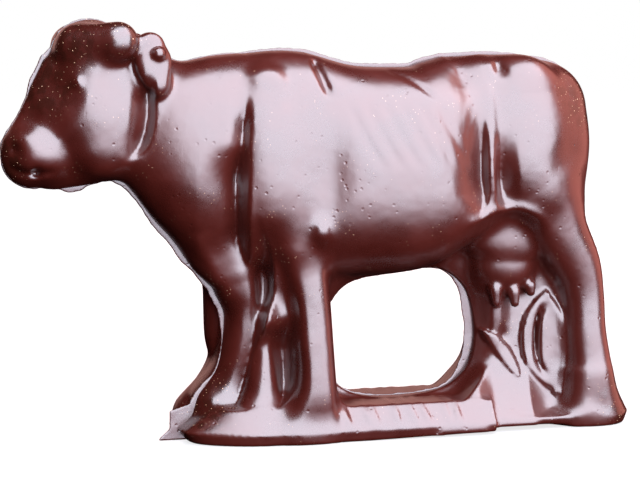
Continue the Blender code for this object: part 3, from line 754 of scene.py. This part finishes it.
@dataclass(frozen=True)
class SideRelief:
    """Folds of skin, bones and hollows modelled on both sides of the animal."""

    folds: tuple[Fold | Crease, ...] = (
        # behind the jaw, mouth
        Crease(-2.0, 0.9, 4.0, (
            (-53.6, 73.5), (-53.2, 69), (-53.3, 64.5), (-54.6, 59.7), (-58.4, 56.0),
        ), 0.3),
        Fold(-0.6, 0.7, ((-80.4, 55.6), (-77.4, 54.2), (-74.5, 54.0), (-69.7, 54.6))),
        # ridge of the chest, valley before the shoulder, pit above the forelegs
        Fold(0.45, 1.6, ((-45.4, 42.7), (-43.0, 38.6), (-40.4, 34.4), (-38.3, 28.7))),
        Crease(-2.0, 1.2, 3.5, ((-34.6, 70), (-35.4, 63), (-36.0, 56), (-36.2, 50)), 0.4, 0.12),
        Crease(-4.6, 1.4, 8.5, ((-35.6, 60), (-36.2, 52), (-35.8, 43), (-33.4, 33)), 0.35, 0.12),
        Fold(-2.4, 3.2, ((-34.0, 46), (-31.4, 40), (-29.4, 33.5), (-27.4, 26), (-25.6, 18)), 0.4),
        # notch of the withers, edge of the loin
        Crease(-1.0, 1.2, 1.2, ((-20.2, 76.5), (-19.3, 72.5), (-18.0, 67.5))),
        Fold(-0.45, 0.6, ((-5.5, 73.4), (-2.2, 72.2), (0.6, 70.2), (3.4, 67.4))),
        # flank, hip ridge and thigh
        Crease(-2.1, 1.0, 7.5, ((12.3, 67.5), (12.9, 59.7), (13.0, 53), (13.4, 47.6), (11.0, 42.6)), 0.4),
        Fold(0.4, 1.3, ((15.1, 74.5), (14.9, 65.7), (14.9, 56), (15.4, 47))),
        Crease(-2.6, 3.0, 2.2, ((16.9, 62.5), (17.4, 54.5), (18.0, 49), (18.6, 44.5)), 0.5),
        Fold(0.8, 1.3, (
            (8, 42.0), (11.2, 43.6), (15.5, 45.2), (20.4, 45.9), (25.6, 43.8), (29.2, 39.2),
        ), 0.3),
    )
    dents: tuple[Dent, ...] = (
        # eye socket and eye, nostril, corner of the mouth
        Dent(-0.6, -68.8, 69.0, (2.8, 3.6), 20),
        Dent(0.7, -67.0, 71.4, (0.9, 1.0)),
        Dent(-0.8, -78.4, 58.6, (1.0, 1.2)),
        Dent(-1.2, -74.5, 54.3, (0.8, 0.8)),
        # hollow behind the shoulder, elbow, hollow before the hip, hip bone, notch behind it
        Dent(-1.3, -19.4, 53.0, (4.4, 12.0)),
        Dent(1.4, -20.5, 42.0, (1.9, 2.6), 10),
        Dent(-1.0, 9.9, 72.0, (3.4, 3.0)),
        Dent(0.8, 15.6, 75.0, (2.6, 2.2)),
        Dent(-0.8, 18.2, 73.6, (1.3, 1.8)),
    )
    ribs: int = 6
    rib_start: float = -15.5
    rib_pitch: float = 3.6
    rib_depth: float = 0.22
    tufts: int = 8
    tuft_start: float = -15.0
    tuft_pitch: float = 3.4
    tuft_height: float = 0.6

    def height(self, at: Place) -> Array:
        """How far the sides stand out there.

        Args:
            at: Places; only x and z are read.

        Returns:
            Heights in millimetres.
        """
        total = sum(part.height * part.share(at) for part in (*self.folds, *self.dents))
        for i in range(self.ribs):
            x = self.rib_start + self.rib_pitch * i
            rib = Fold(-self.rib_depth, 0.9, ((x, 68.5 - 0.2 * i), (x + 3.2, 61), (x + 7.4, 53.5)))
            total = total + rib.height * rib.share(at)
        for i in range(self.tufts):
            x = self.tuft_start + self.tuft_pitch * i + 0.9 * math.sin(2.3 * i)
            end = x + 1.6 + 0.8 * math.sin(1.7 * i)
            height = self.tuft_height * (0.75 + 0.25 * math.sin(3.1 * i))
            tuft = Crease(height, 0.5, 1.3, ((x, 7.4), (0.6 * x + 0.4 * end, 5.2), (end, 2.2)), 0.4)
            total = total + tuft.height * tuft.share(at)
        return total


@dataclass(frozen=True)
class Plants:
    """Blades that stand in relief on the web between the hind legs, with their veins."""

    blades: tuple[Blade, ...] = (
        Blade(1.6, 1.9, ((30.6, 27.5), (27.6, 22.5), (26.9, 17.5), (28.0, 12.5), (32.0, 7.6))),
        Blade(2.0, 3.5, ((30.8, 27.0), (31.6, 22.0), (32.0, 17.0), (31.9, 12.0), (32.6, 7.0))),
        Blade(1.5, 1.8, ((17.0, 20.0), (20.2, 17.0), (22.4, 14.0), (24.2, 10.6))),
    )
    groove: Crease = Crease(-1.6, 0.7, 0.7, (
        (30.7, 26.0), (28.9, 21.8), (28.4, 17.6), (28.8, 13.4), (31.3, 9.4),
    ), 0.15)
    hollow: Dent = Dent(-0.8, 21.3, 18.6, (1.2, 2.2))
    veins: tuple[float, ...] = (-1.2, 0.0, 1.2)
    vein_depth: float = 0.2

    def height(self, at: Place) -> Array:
        """How far the blades stand out of the web there.

        Args:
            at: Places; only x and z are read.

        Returns:
            Heights in millimetres.
        """
        total = 0.0
        for blade in self.blades:
            total = np.maximum(total, blade.height * blade.share(at))
        for dx in self.veins:
            path = ((31.0 + 0.3 * dx, 25.5), (32.0 + dx, 17), (32.3 + 0.4 * dx, 9))
            vein = Fold(-self.vein_depth, 0.32, path)
            total = total + vein.height * vein.share(at)
        return total + sum(part.height * part.share(at) for part in (self.groove, self.hollow))


@dataclass(frozen=True)
class Cow:
    """The whole casting without its flash."""

    torso: Torso = Torso()
    head: Head = Head()
    legs: Legs = Legs()
    web: Web = Web()
    base: Base = Base()
    udder: Udder = Udder()
    relief: SideRelief = SideRelief()
    plants: Plants = Plants()

    def field(self, at: Place) -> Array:
        """Field of the casting.

        Args:
            at: Places.

        Returns:
            The field there.
        """
        d = smooth_union(self.torso.field(at), self.head.field(at), 2.5)
        d = self.head.add_horns_and_ears(at, d)
        d = self.torso.add_muscles(at, d)
        d = smooth_union(d, self.web.field(at), 2.5)
        d = smooth_union(d, self.legs.field(at), 2.6)
        d = smooth_union(d, self.base.field(at), 3.0)
        d = self.udder.add(at, d)
        away = np.abs(at.y)
        d = d - self.relief.height(at) * ramp(1.0, 4.0, away)
        return d - self.plants.height(at) * ramp(7.5, 3.0, away) * ramp(0.5, 2.0, away)


@dataclass
class Skin:
    """The zero surface of a field on a grid, as corners and four-sided faces."""

    axes: list[Array]
    values: Array

    def surface(self, relaxing: int) -> tuple[Array, Array]:
        """Find the surface.

        Every cell that the surface passes through gets one corner, at the mean of the
        places where the surface crosses the cell's edges. Every grid edge that it crosses
        gets one face, between the four cells round that edge. The corners are then
        relaxed.

        Args:
            relaxing: How many rounds of relaxing.

        Returns:
            Corners in millimetres and faces, facing out.
        """
        self.settle_saddles()
        corners, number, crossed = self.cell_corners()
        faces = []
        for axis in range(3):
            p, q = (axis + 1) % 3, (axis + 2) % 3
            inner = [slice(None)] * 3
            inner[p], inner[q] = slice(1, -1), slice(1, -1)
            where = np.argwhere(crossed[axis][tuple(inner)])
            where[:, p] += 1
            where[:, q] += 1
            around = []
            for dp, dq in ((-1, -1), (0, -1), (0, 0), (-1, 0)):
                cell = where.copy()
                cell[:, p] += dp
                cell[:, q] += dq
                around.append(number[tuple(cell.T)])
            quads = np.stack(around, axis=1)
            leaving = self.values[tuple(where.T)] < 0
            faces.append(np.where(leaving[:, None], quads, quads[:, ::-1]))
        found = np.concatenate(faces)
        return self.relaxed(corners, found, relaxing), found

    def cell_corners(self) -> tuple[Array, Array, list[Array]]:
        """Place one corner in every cell that the surface passes through.

        Returns:
            The corners, the number of each cell's corner, and for each axis the grid edges
            that the surface crosses.
        """
        values, inside = self.values, self.values < 0
        cells = tuple(n - 1 for n in values.shape)
        total = np.zeros(cells + (3,), np.float32)
        count = np.zeros(cells, np.float32)
        crossed = []
        for axis in range(3):
            low, high = [slice(None)] * 3, [slice(None)] * 3
            low[axis], high[axis] = slice(None, -1), slice(1, None)
            a, b = values[tuple(low)], values[tuple(high)]
            crossing = inside[tuple(low)] != inside[tuple(high)]
            crossed.append(crossing)
            fraction = np.where(crossing, a / np.where(crossing, a - b, 1.0), 0.0)
            others = [k for k in range(3) if k != axis]
            for shift in np.ndindex(2, 2):
                take = [slice(None)] * 3
                for k, offset in zip(others, shift):
                    take[k] = slice(offset, offset + cells[k])
                hit = crossing[tuple(take)]
                count += hit
                total[..., axis] += fraction[tuple(take)]
                for k, offset in zip(others, shift):
                    total[..., k] += hit * np.float32(offset)
        used = count > 0
        number = np.full(cells, -1)
        number[used] = np.arange(used.sum())
        index = np.argwhere(used)
        share = total[used] / count[used][:, None]
        corners = np.empty((len(index), 3))
        for k, axis in enumerate(self.axes):
            corners[:, k] = axis[index[:, k]] + share[:, k] * np.diff(axis)[index[:, k]]
        return corners, number, crossed

    def settle_saddles(self) -> None:
        """Nudge the grid where opposite corners of a square are alike, so nothing touches itself."""
        for _ in range(20):
            found = 0
            for p, q in ((0, 1), (0, 2), (1, 2)):
                inside = np.moveaxis(self.values < 0, (p, q), (0, 1))
                a, b, c, d = inside[:-1, :-1], inside[1:, :-1], inside[1:, 1:], inside[:-1, 1:]
                i, j, k = np.nonzero((a == c) & (b == d) & (a != b))
                view = np.moveaxis(self.values, (p, q), (0, 1))
                ring = np.stack([view[i + di, j + dj, k] for di, dj in ((0, 0), (1, 0), (1, 1), (0, 1))])
                weakest = np.abs(ring).argmin(axis=0)
                i, j = i + np.array([0, 1, 1, 0])[weakest], j + np.array([0, 0, 1, 1])[weakest]
                view[i, j, k] = np.where(view[i, j, k] >= 0, -0.002, 0.002)
                found += len(i)
            if not found:
                break

    def relaxed(self, corners: Array, faces: Array, rounds: int) -> Array:
        """Even out the corners without leaving the surface.

        Each corner moves half way to the mean of its neighbours, and is then moved along
        the field's slope by the field's value there, read between the grid's points.

        Args:
            corners: Corners.
            faces: Faces between them.
            rounds: How often.

        Returns:
            The moved corners.
        """
        start, end = faces.ravel(), np.roll(faces, -1, axis=1).ravel()
        shares = np.bincount(start, minlength=len(corners))[:, None]
        for _ in range(rounds):
            total = np.stack([np.bincount(start, corners[end, k], len(corners)) for k in range(3)], axis=1)
            corners = corners + 0.5 * (total / shares - corners)
            value, slope = self.read(corners)
            steep = np.maximum((slope * slope).sum(axis=1, keepdims=True), 0.25)
            corners = corners - np.clip(value[:, None] / steep, -0.2, 0.2) * slope
        return corners

    def read(self, corners: Array) -> tuple[Array, Array]:
        """Read the field and its slope between the grid's points.

        Both are weighted means of the eight grid points round each place, with weights
        that fall evenly along each axis.

        Args:
            corners: Places, one to a row.

        Returns:
            The field's values and its slopes.
        """
        index, part, size = [], [], []
        for k, axis in enumerate(self.axes):
            i = np.clip(np.searchsorted(axis, corners[:, k]) - 1, 0, len(axis) - 2)
            step = np.diff(axis)[i]
            index.append(i)
            part.append((corners[:, k] - axis[i]) / step)
            size.append(step)
        value = np.zeros(len(corners))
        slope = np.zeros((len(corners), 3))
        for shift in np.ndindex(2, 2, 2):
            at = self.values[tuple(i + s for i, s in zip(index, shift))]
            weights = [p if s else 1 - p for p, s in zip(part, shift)]
            value += weights[0] * weights[1] * weights[2] * at
            for k in range(3):
                others = weights[(k + 1) % 3] * weights[(k + 2) % 3]
                slope[:, k] += (1 if shift[k] else -1) * others * at / size[k]
        return value, slope


def put_object(name: str, corners: Array, faces: Array, finish: bpy.types.Material) -> bpy.types.Object:
    """Put a surface into the scene.

    Args:
        name: Name of the piece.
        corners: Corners in millimetres.
        faces: Faces, facing out.
        finish: Material.

    Returns:
        The new object, at the origin.
    """
    mesh = bpy.data.meshes.new(name)
    mesh.from_pydata(corners * MM, [], faces)
    mesh.materials.append(finish)
    mesh.shade_smooth()
    made = bpy.data.objects.new(name, mesh)
    bpy.context.scene.collection.objects.link(made)
    return made


def steps(low: float, high: float, step: float) -> Array:
    """Evenly spaced places from low to just past high."""
    return np.arange(low, high + step, step).astype(np.float32)


class Side(Enum):
    """The halves of the mould, by the direction in which each opens along y."""

    NEAR = -1
    FAR = 1


@dataclass(frozen=True)
class CastSide:
    """The surface that one half of the mould formed, closed by a wall behind the seam."""

    cow: Cow
    side: Side
    step: float
    low: Point = (-84.0, -0.6)
    high: Point = (53.0, 86.0)
    reach: float = 20.4
    behind: float = 1.3
    inset: float = 0.12

    def build(self, finish: bpy.types.Material) -> bpy.types.Object:
        """Make the piece.

        Past the seam plane the surface sinks a little under the other side's, so the two
        never share a place. It is cut off a little behind the seam and at the ground.

        Args:
            finish: Material.

        Returns:
            The piece.
        """
        sign = self.side.value
        across = steps(-self.behind - self.step, self.reach, self.step) * sign
        axes = [
            steps(self.low[0], self.high[0], self.step),
            np.sort(across),
            steps(self.low[1], self.high[1], self.step),
        ]
        at = Place(axes[0][:, None, None], axes[1][None, :, None], axes[2][None, None, :])
        past = -sign * at.y
        values = self.cow.field(at) + self.inset * ramp(-0.1, 0.4, past)
        values = np.maximum(np.maximum(values, past - self.behind), -at.z).astype(np.float32)
        corners, faces = Skin(axes, values).surface(relaxing=2)
        name = f"{self.side.name.lower()}_side"
        log.info("%s: %d corners, %d faces", name, len(corners), len(faces))
        return put_object(name, corners, faces, finish)


@dataclass(frozen=True)
class SeamFlash:
    """The thin fin of chocolate squeezed out between the halves of the mould."""

    cow: Cow
    width: float = 0.15
    thickness: float = 0.42
    root: float = 1.0
    step: float = 0.25
    side_step: float = 0.07
    wide: tuple[Point, ...] = (
        # x, z, reach along x and z, extra width
        (17.5, 20, 6, 11, 1.7),
        (-48, 41, 5.5, 8, 0.9),
        (-55, 51, 4, 4, 0.5),
        (-38, 28, 5, 6, 0.9),
        (-44, 8, 5, 4, 0.6),
        (-8, 76, 22, 5, 0.5),
        (22, 77, 14, 5, 0.4),
        (-73, 74, 4, 5, 0.5),
        (-66.5, 50, 2.2, 2.5, 0.9),
        (46, 12, 4, 9, 0.6),
    )

    def reach(self, at: Place) -> Array:
        """How far the flash stands out of the section there.

        Args:
            at: Places; only x and z are read.

        Returns:
            Widths in millimetres.
        """
        total = self.width + 0.08 * waves(at, 6.0, 3) + 0.05 * waves(at, 1.6, 4)
        for x, z, reach_x, reach_z, extra in self.wide:
            total = total + extra * np.exp(-(((at.x - x) / reach_x) ** 4) - ((at.z - z) / reach_z) ** 4)
        return np.maximum(total, 0.08)

    def build(self, finish: bpy.types.Material) -> bpy.types.Object:
        """Make the piece.

        It is a plate in the seam plane, between a line a little inside the casting's
        outline and a line outside it, and gets thinner towards its free edge.

        Args:
            finish: Material.

        Returns:
            The piece.
        """
        side = np.arange(-5, 6) * self.side_step
        axes = [steps(-84.0, 53.0, self.step), side.astype(np.float32), steps(-0.75, 86.0, self.step)]
        at = Place(axes[0][:, None, None], axes[1][None, :, None], axes[2][None, None, :])
        section = self.cow.field(at.in_seam())
        x, z = at.x, at.z
        heel = np.maximum(-x - 47.9 - 2.2 * ramp(2.6, 0.0, z), z - 6.0 - 0.3 * (x + 47.4))
        edge = np.minimum(section - self.reach(at), np.maximum(heel, x + 36.0))
        half = 0.5 * self.thickness * (1.0 - 0.35 * ramp(0.0, 1.5, section))
        plate = np.maximum(np.abs(at.y) - half, np.maximum(edge, -section - self.root))
        values = np.maximum(plate, -z).astype(np.float32)
        corners, faces = Skin(axes, values).surface(relaxing=1)
        log.info("seam_flash: %d corners, %d faces", len(corners), len(faces))
        return put_object("seam_flash", corners, faces, finish)


class Sock:
    """A shader socket that takes part in Python expressions by adding Math nodes."""

    def __init__(self, shader: "Shader", socket: Any) -> None:
        """Keep the socket and the shader it belongs to."""
        self.shader = shader
        self.socket = socket

    def maths(self, operation: str, *others: Any) -> "Sock":
        """Add a Math node with this operation and these values or sockets as its inputs."""
        return self.shader.node("ShaderNodeMath", {"operation": operation}, dict(enumerate(others)))

    def __add__(self, other: Any) -> "Sock":
        """Sum."""
        return self.maths("ADD", self, other)

    __radd__ = __add__

    def __sub__(self, other: Any) -> "Sock":
        """Difference."""
        return self.maths("SUBTRACT", self, other)

    def __rsub__(self, other: Any) -> "Sock":
        """Difference from a number."""
        return self.maths("SUBTRACT", other, self)

    def __mul__(self, other: Any) -> "Sock":
        """Product."""
        return self.maths("MULTIPLY", self, other)

    __rmul__ = __mul__

    def smooth(self, low: float, high: float) -> "Sock":
        """Rise smoothly from 0 at low to 1 at high.

        Args:
            low: Value where the result is 0.
            high: Value where it is 1; it falls if this is the smaller.

        Returns:
            Numbers from 0 to 1.
        """
        settings = {"interpolation_type": "SMOOTHSTEP", "clamp": True}
        inputs = {0: self, 1: low, 2: high, 3: 0.0, 4: 1.0}
        if low >= high:
            inputs = {0: self, 1: high, 2: low, 3: 1.0, 4: 0.0}
        return self.shader.node("ShaderNodeMapRange", settings, inputs)


class Shader:
    """Node tree of one material."""

    def __init__(self, name: str) -> None:
        """Start a material that has only its Principled shader."""
        self.material = bpy.data.materials.new(name)
        self.material.use_nodes = True
        self.tree = self.material.node_tree
        self.principled = self.tree.nodes["Principled BSDF"]

    def node(self, kind: str, settings: dict[str, Any], inputs: dict[Any, Any], output: Any = 0) -> Sock:
        """Add a node.

        Args:
            kind: Its type.
            settings: Its settings, set first.
            inputs: Values or sockets of its inputs, by name or number.
            output: Which output to return, by name or number.

        Returns:
            The output.
        """
        made = self.tree.nodes.new(kind)
        for name, value in settings.items():
            setattr(made, name, value)
        for name, value in inputs.items():
            if isinstance(value, Sock):
                self.tree.links.new(value.socket, made.inputs[name])
            else:
                made.inputs[name].default_value = value
        return Sock(self, made.outputs[output])

    def feed(self, **inputs: Any) -> None:
        """Set or link the Principled shader's sockets, named with _ for a space."""
        for name, value in inputs.items():
            socket = self.principled.inputs[name.replace("_", " ")]
            if isinstance(value, Sock):
                self.tree.links.new(value.socket, socket)
            else:
                socket.default_value = value

    def place(self, scale: Point) -> Sock:
        """Object coordinates in millimetres, scaled along each axis.

        Args:
            scale: Factor on each axis.

        Returns:
            A vector.
        """
        at = self.node("ShaderNodeTexCoord", {}, {}, "Object")
        factor = tuple(1000.0 * s for s in scale)
        return self.node("ShaderNodeVectorMath", {"operation": "MULTIPLY"}, {0: at, 1: factor})

    def noise(self, at: Sock, scale: float, detail: float = 2.0, roughness: float = 0.5) -> Sock:
        """Cloudy noise from 0 to 1, with scale clouds per millimetre and detail finer layers."""
        inputs = {"Vector": at, "Scale": scale, "Detail": detail, "Roughness": roughness}
        return self.node("ShaderNodeTexNoise", {}, inputs)

    def cells(self, at: Sock, scale: float) -> Sock:
        """Distance to the nearest of points strewn through space, scale of them per millimetre."""
        inputs = {"Vector": at, "Scale": scale, "Randomness": 1.0}
        return self.node("ShaderNodeTexVoronoi", {"feature": "F1"}, inputs, "Distance")

    def mix(self, factor: Sock, first: Any, second: Any) -> Sock:
        """Mix two colours, plain or from sockets: the first at factor 0, the second at 1.

        Args:
            factor: Share of the second.
            first: First colour.
            second: Second colour.

        Returns:
            The mixed colour.
        """
        def full(colour: Any) -> Any:
            """Give a plain colour its fourth number."""
            return colour if isinstance(colour, Sock) else (*colour, 1.0)
        settings = {"data_type": "RGBA"}
        return self.node("ShaderNodeMix", settings, {0: factor, 6: full(first), 7: full(second)}, 2)


@dataclass(frozen=True)
class ChocolateFinish:
    """Glossy milk chocolate as it leaves a mould, with pinholes, fine scratches, worn places, and pale
    specks that are part fat bloom and part painted glints.
    """

    colour: Colour = (0.043, 0.0050, 0.0029)
    dark: Colour = (0.030, 0.0034, 0.0020)
    worn_colour: Colour = (0.022, 0.0040, 0.0022)
    # pale colour of the specks: part fat bloom, part painted glints of light on small bumps
    bloom_and_glint: Colour = (0.50, 0.31, 0.19)
    roughness: float = 0.29
    worn_roughness: float = -0.05
    specular: float = 1.0
    pits_per_mm: float = 0.55
    specks_per_mm: float = 1.25
    bump_height: float = 0.1
    worn_places: tuple[tuple[Point, float], ...] = (
        # forehead, poll, horn, muzzle, rump, both ends of the base
        ((-72.0, -2.0, 73.0), 12.0),
        ((-66.0, -4.0, 80.0), 10.0),
        ((-59.0, -9.0, 81.0), 7.0),
        ((-81.0, -2.0, 57.0), 7.5),
        ((36.0, -9.0, 68.0), 9.0),
        ((46.0, -7.0, 6.0), 9.0),
        ((-43.0, -5.0, 9.0), 10.0),
    )

    def worn(self, shader: Shader, at: Sock) -> Sock:
        """How worn the surface is, from the nearest of the worn places and a patchy cloud.

        Args:
            shader: Shader to add to.
            at: Object coordinates in millimetres.

        Returns:
            Numbers from 0 to 1.
        """
        most = None
        for centre, radius in self.worn_places:
            inputs = {0: at, 1: centre}
            away = shader.node("ShaderNodeVectorMath", {"operation": "DISTANCE"}, inputs, "Value")
            near = away.smooth(radius, 0.45 * radius)
            most = near if most is None else most.maths("MAXIMUM", most, near)
        return most * (0.45 + 0.9 * shader.noise(at, 0.5, 3.0).smooth(0.42, 0.62))

    def material(self) -> bpy.types.Material:
        """Make the material.

        Returns:
            The material.
        """
        shader = Shader("milk_chocolate")
        at = shader.place((1.0, 1.0, 1.0))
        worn = self.worn(shader, at)
        clouds = shader.noise(at, 0.11, 3.0)
        grain = shader.noise(at, 1.9, 3.0, 0.6)
        pits = shader.cells(at, self.pits_per_mm).smooth(0.22, 0.05)
        specks = shader.cells(at, self.specks_per_mm).smooth(0.17, 0.06)
        present = worn * 0.9
        scattered = shader.noise(at, 0.17, 1.0).smooth(0.56, 0.66) * 0.5
        bloom_and_glint_speck = specks * present.maths("MAXIMUM", present, scattered)
        colour = shader.mix(clouds.smooth(0.3, 0.7), self.dark, self.colour)
        colour = shader.mix(worn * 0.8, colour, self.worn_colour)
        # pale specks: part fat bloom, part painted glints, the highlights of small bumps painted into the
        # colour
        colour = shader.mix(bloom_and_glint_speck * 0.9, colour, self.bloom_and_glint)
        rough = self.roughness + (clouds - 0.5) * 0.16 + (grain - 0.5) * 0.06 + worn * self.worn_roughness
        hollow = pits * shader.noise(at, 0.21, 1.0).smooth(0.48, 0.60)
        upright = shader.noise(shader.place((2.4, 2.4, 0.10)), 1.0, 1.0)
        scratch = upright.smooth(0.60, 0.72) * shader.noise(at, 0.09, 1.0).smooth(0.45, 0.6)
        height = shader.noise(at, 0.17, 2.0) * 3.0 + grain * 0.06 - hollow * 0.9
        height = height + bloom_and_glint_speck * 0.3 - scratch * 0.05 + worn * shader.noise(at, 2.6, 2.0, 0.7) * 0.35
        bump = {"Strength": 0.5, "Distance": self.bump_height * MM, "Height": height}
        shader.feed(
            Base_Color=colour, Roughness=rough, Specular_IOR_Level=self.specular,
            Normal=shader.node("ShaderNodeBump", {}, bump, "Normal"),
        )
        return shader.material


@dataclass(frozen=True)
class FloorFinish:
    """Plain white sheet with a slight gloss."""

    colour: Colour = (0.16, 0.16, 0.165)
    roughness: float = 0.12
    near_glow: float = 0.75
    reach: Point = (0.09, 0.40)

    def material(self) -> bpy.types.Material:
        """Make the material.

        The sheet glows a little more with the distance from the figure, so that it stays
        white where the lamps no longer reach it.

        Returns:
            The material.
        """
        shader = Shader("pale_floor")
        at = shader.node("ShaderNodeTexCoord", {}, {}, "Object")
        away = shader.node("ShaderNodeVectorMath", {"operation": "LENGTH"}, {0: at}, "Value")
        glow = shader.mix(away.smooth(*self.reach), (self.near_glow,) * 3, (1.0, 1.0, 1.0))
        clouds = shader.noise(shader.place((1.0, 1.0, 1.0)), 0.02, 2.0)
        shader.feed(
            Base_Color=(*self.colour, 1.0), Roughness=self.roughness + (clouds - 0.5) * 0.03,
            Emission_Color=glow, Emission_Strength=1.0,
        )
        return shader.material


@dataclass(frozen=True)
class Floor:
    """Plain pale floor under the figure, not part of it."""

    finish: FloorFinish = FloorFinish()
    half: float = 3.0

    def build(self) -> bpy.types.Object:
        """Make the floor.

        Returns:
            The floor.
        """
        half = self.half / MM
        corners = np.array([
            (-half, -half, -0.02), (half, -half, -0.02), (half, half, -0.02), (-half, half, -0.02),
        ])
        floor = put_object("floor", corners, np.array([(0, 1, 2, 3)]), self.finish.material())
        floor.visible_diffuse = False
        floor.visible_glossy = False
        floor.visible_shadow = False
        return floor


def looking(azimuth: float, elevation: float) -> Vector:
    """Direction from the figure to a place round it.

    Args:
        azimuth: Degrees round the figure, 0 at -Y and 90 at +X.
        elevation: Degrees above the horizon.

    Returns:
        A unit vector.
    """
    a, e = math.radians(azimuth), math.radians(elevation)
    return Vector((math.sin(a) * math.cos(e), -math.cos(a) * math.cos(e), math.sin(e)))


@dataclass(frozen=True)
class Lamp:
    """A soft box that faces the figure; angles in degrees, sizes in metres."""

    name: str
    azimuth: float
    elevation: float
    distance: float
    width: float
    height: float
    radiance: float
    tint: Colour = (1.0, 1.0, 1.0)

    def build(self, target: Vector) -> bpy.types.Object:
        """Make the lamp; its power is its radiance times pi times its area.

        Args:
            target: Where it looks.

        Returns:
            The lamp.
        """
        light = bpy.data.lights.new(self.name, "AREA")
        light.shape = "RECTANGLE"
        light.size, light.size_y = self.width, self.height
        light.energy = self.radiance * math.pi * self.width * self.height
        light.color = self.tint
        made = bpy.data.objects.new(self.name, light)
        bpy.context.scene.collection.objects.link(made)
        back = looking(self.azimuth, self.elevation)
        made.location = target + back * self.distance
        made.rotation_euler = back.to_track_quat("Z", "Y").to_euler()
        made.visible_camera = False
        return made


@dataclass(frozen=True)
class Studio:
    """Camera, soft boxes and surroundings that look white but give no light."""

    target: Point = (-0.0167, 0.0, 0.0393)
    distance: float = 0.400
    azimuth: float = -16.0
    elevation: float = 5.5
    focal_pixels: float = 1980.0
    frame_width: int = 640
    sensor: float = 36.0
    lamps: tuple[Lamp, ...] = (
        Lamp("large_box", 17.0, 40.0, 0.9, 1.80, 2.05, 9.2, (0.86, 0.87, 1.0)),
        Lamp("upper_skirt", 17.0, -12.5, 0.9, 1.80, 0.11, 4.6, (0.92, 0.85, 1.0)),
        Lamp("lower_skirt", 17.0, -20.0, 0.9, 1.80, 0.13, 2.0, (0.95, 0.82, 0.95)),
        Lamp("back_box", 180.0, 15.0, 0.9, 1.20, 0.46, 0.9, (1.0, 0.50, 0.44)),
        Lamp("warm_box", 95.0, 20.0, 0.9, 0.80, 1.20, 1.9, (1.0, 0.36, 0.30)),
    )

    def build(self) -> None:
        """Make the camera, the lamps and the world."""
        scene = bpy.context.scene
        lens = bpy.data.cameras.new("camera")
        lens.sensor_width = self.sensor
        lens.lens = self.sensor * self.focal_pixels / self.frame_width
        lens.clip_start = 0.01
        camera = bpy.data.objects.new("camera", lens)
        scene.collection.objects.link(camera)
        back = looking(self.azimuth, self.elevation)
        camera.location = Vector(self.target) + back * self.distance
        camera.rotation_euler = back.to_track_quat("Z", "Y").to_euler()
        scene.camera = camera
        for lamp in self.lamps:
            lamp.build(Vector(self.target))
            log.info("lamp %s", lamp.name)
        scene.view_settings.view_transform = "Standard"
        self.build_world(scene)

    def build_world(self, scene: bpy.types.Scene) -> None:
        """Surround the figure with white where the camera sees it, and with no light.

        Args:
            scene: The scene.
        """
        world = bpy.data.worlds.new("surroundings")
        world.use_nodes = True
        scene.world = world
        nodes, links = world.node_tree.nodes, world.node_tree.links
        seen = nodes.new("ShaderNodeLightPath")
        links.new(seen.outputs["Is Camera Ray"], nodes["Background"].inputs["Strength"])
        nodes["Background"].inputs["Color"].default_value = (1.0, 1.0, 1.0, 1.0)


def main() -> None:
    """Build the studio and the three pieces of the casting, in order."""
    logging.basicConfig(level=logging.INFO, format="%(name)s: %(message)s")
    Studio().build()
    Floor().build()
    chocolate = ChocolateFinish().material()
    cow = Cow()
    near_step = 0.49
    far_step = near_step + 0.1
    for piece in (CastSide(cow, Side.NEAR, near_step), CastSide(cow, Side.FAR, far_step), SeamFlash(cow)):
        made = piece.build(chocolate)
        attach(made, BODY)
        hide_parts(NODE)


if __name__ == "__main__":
    main()
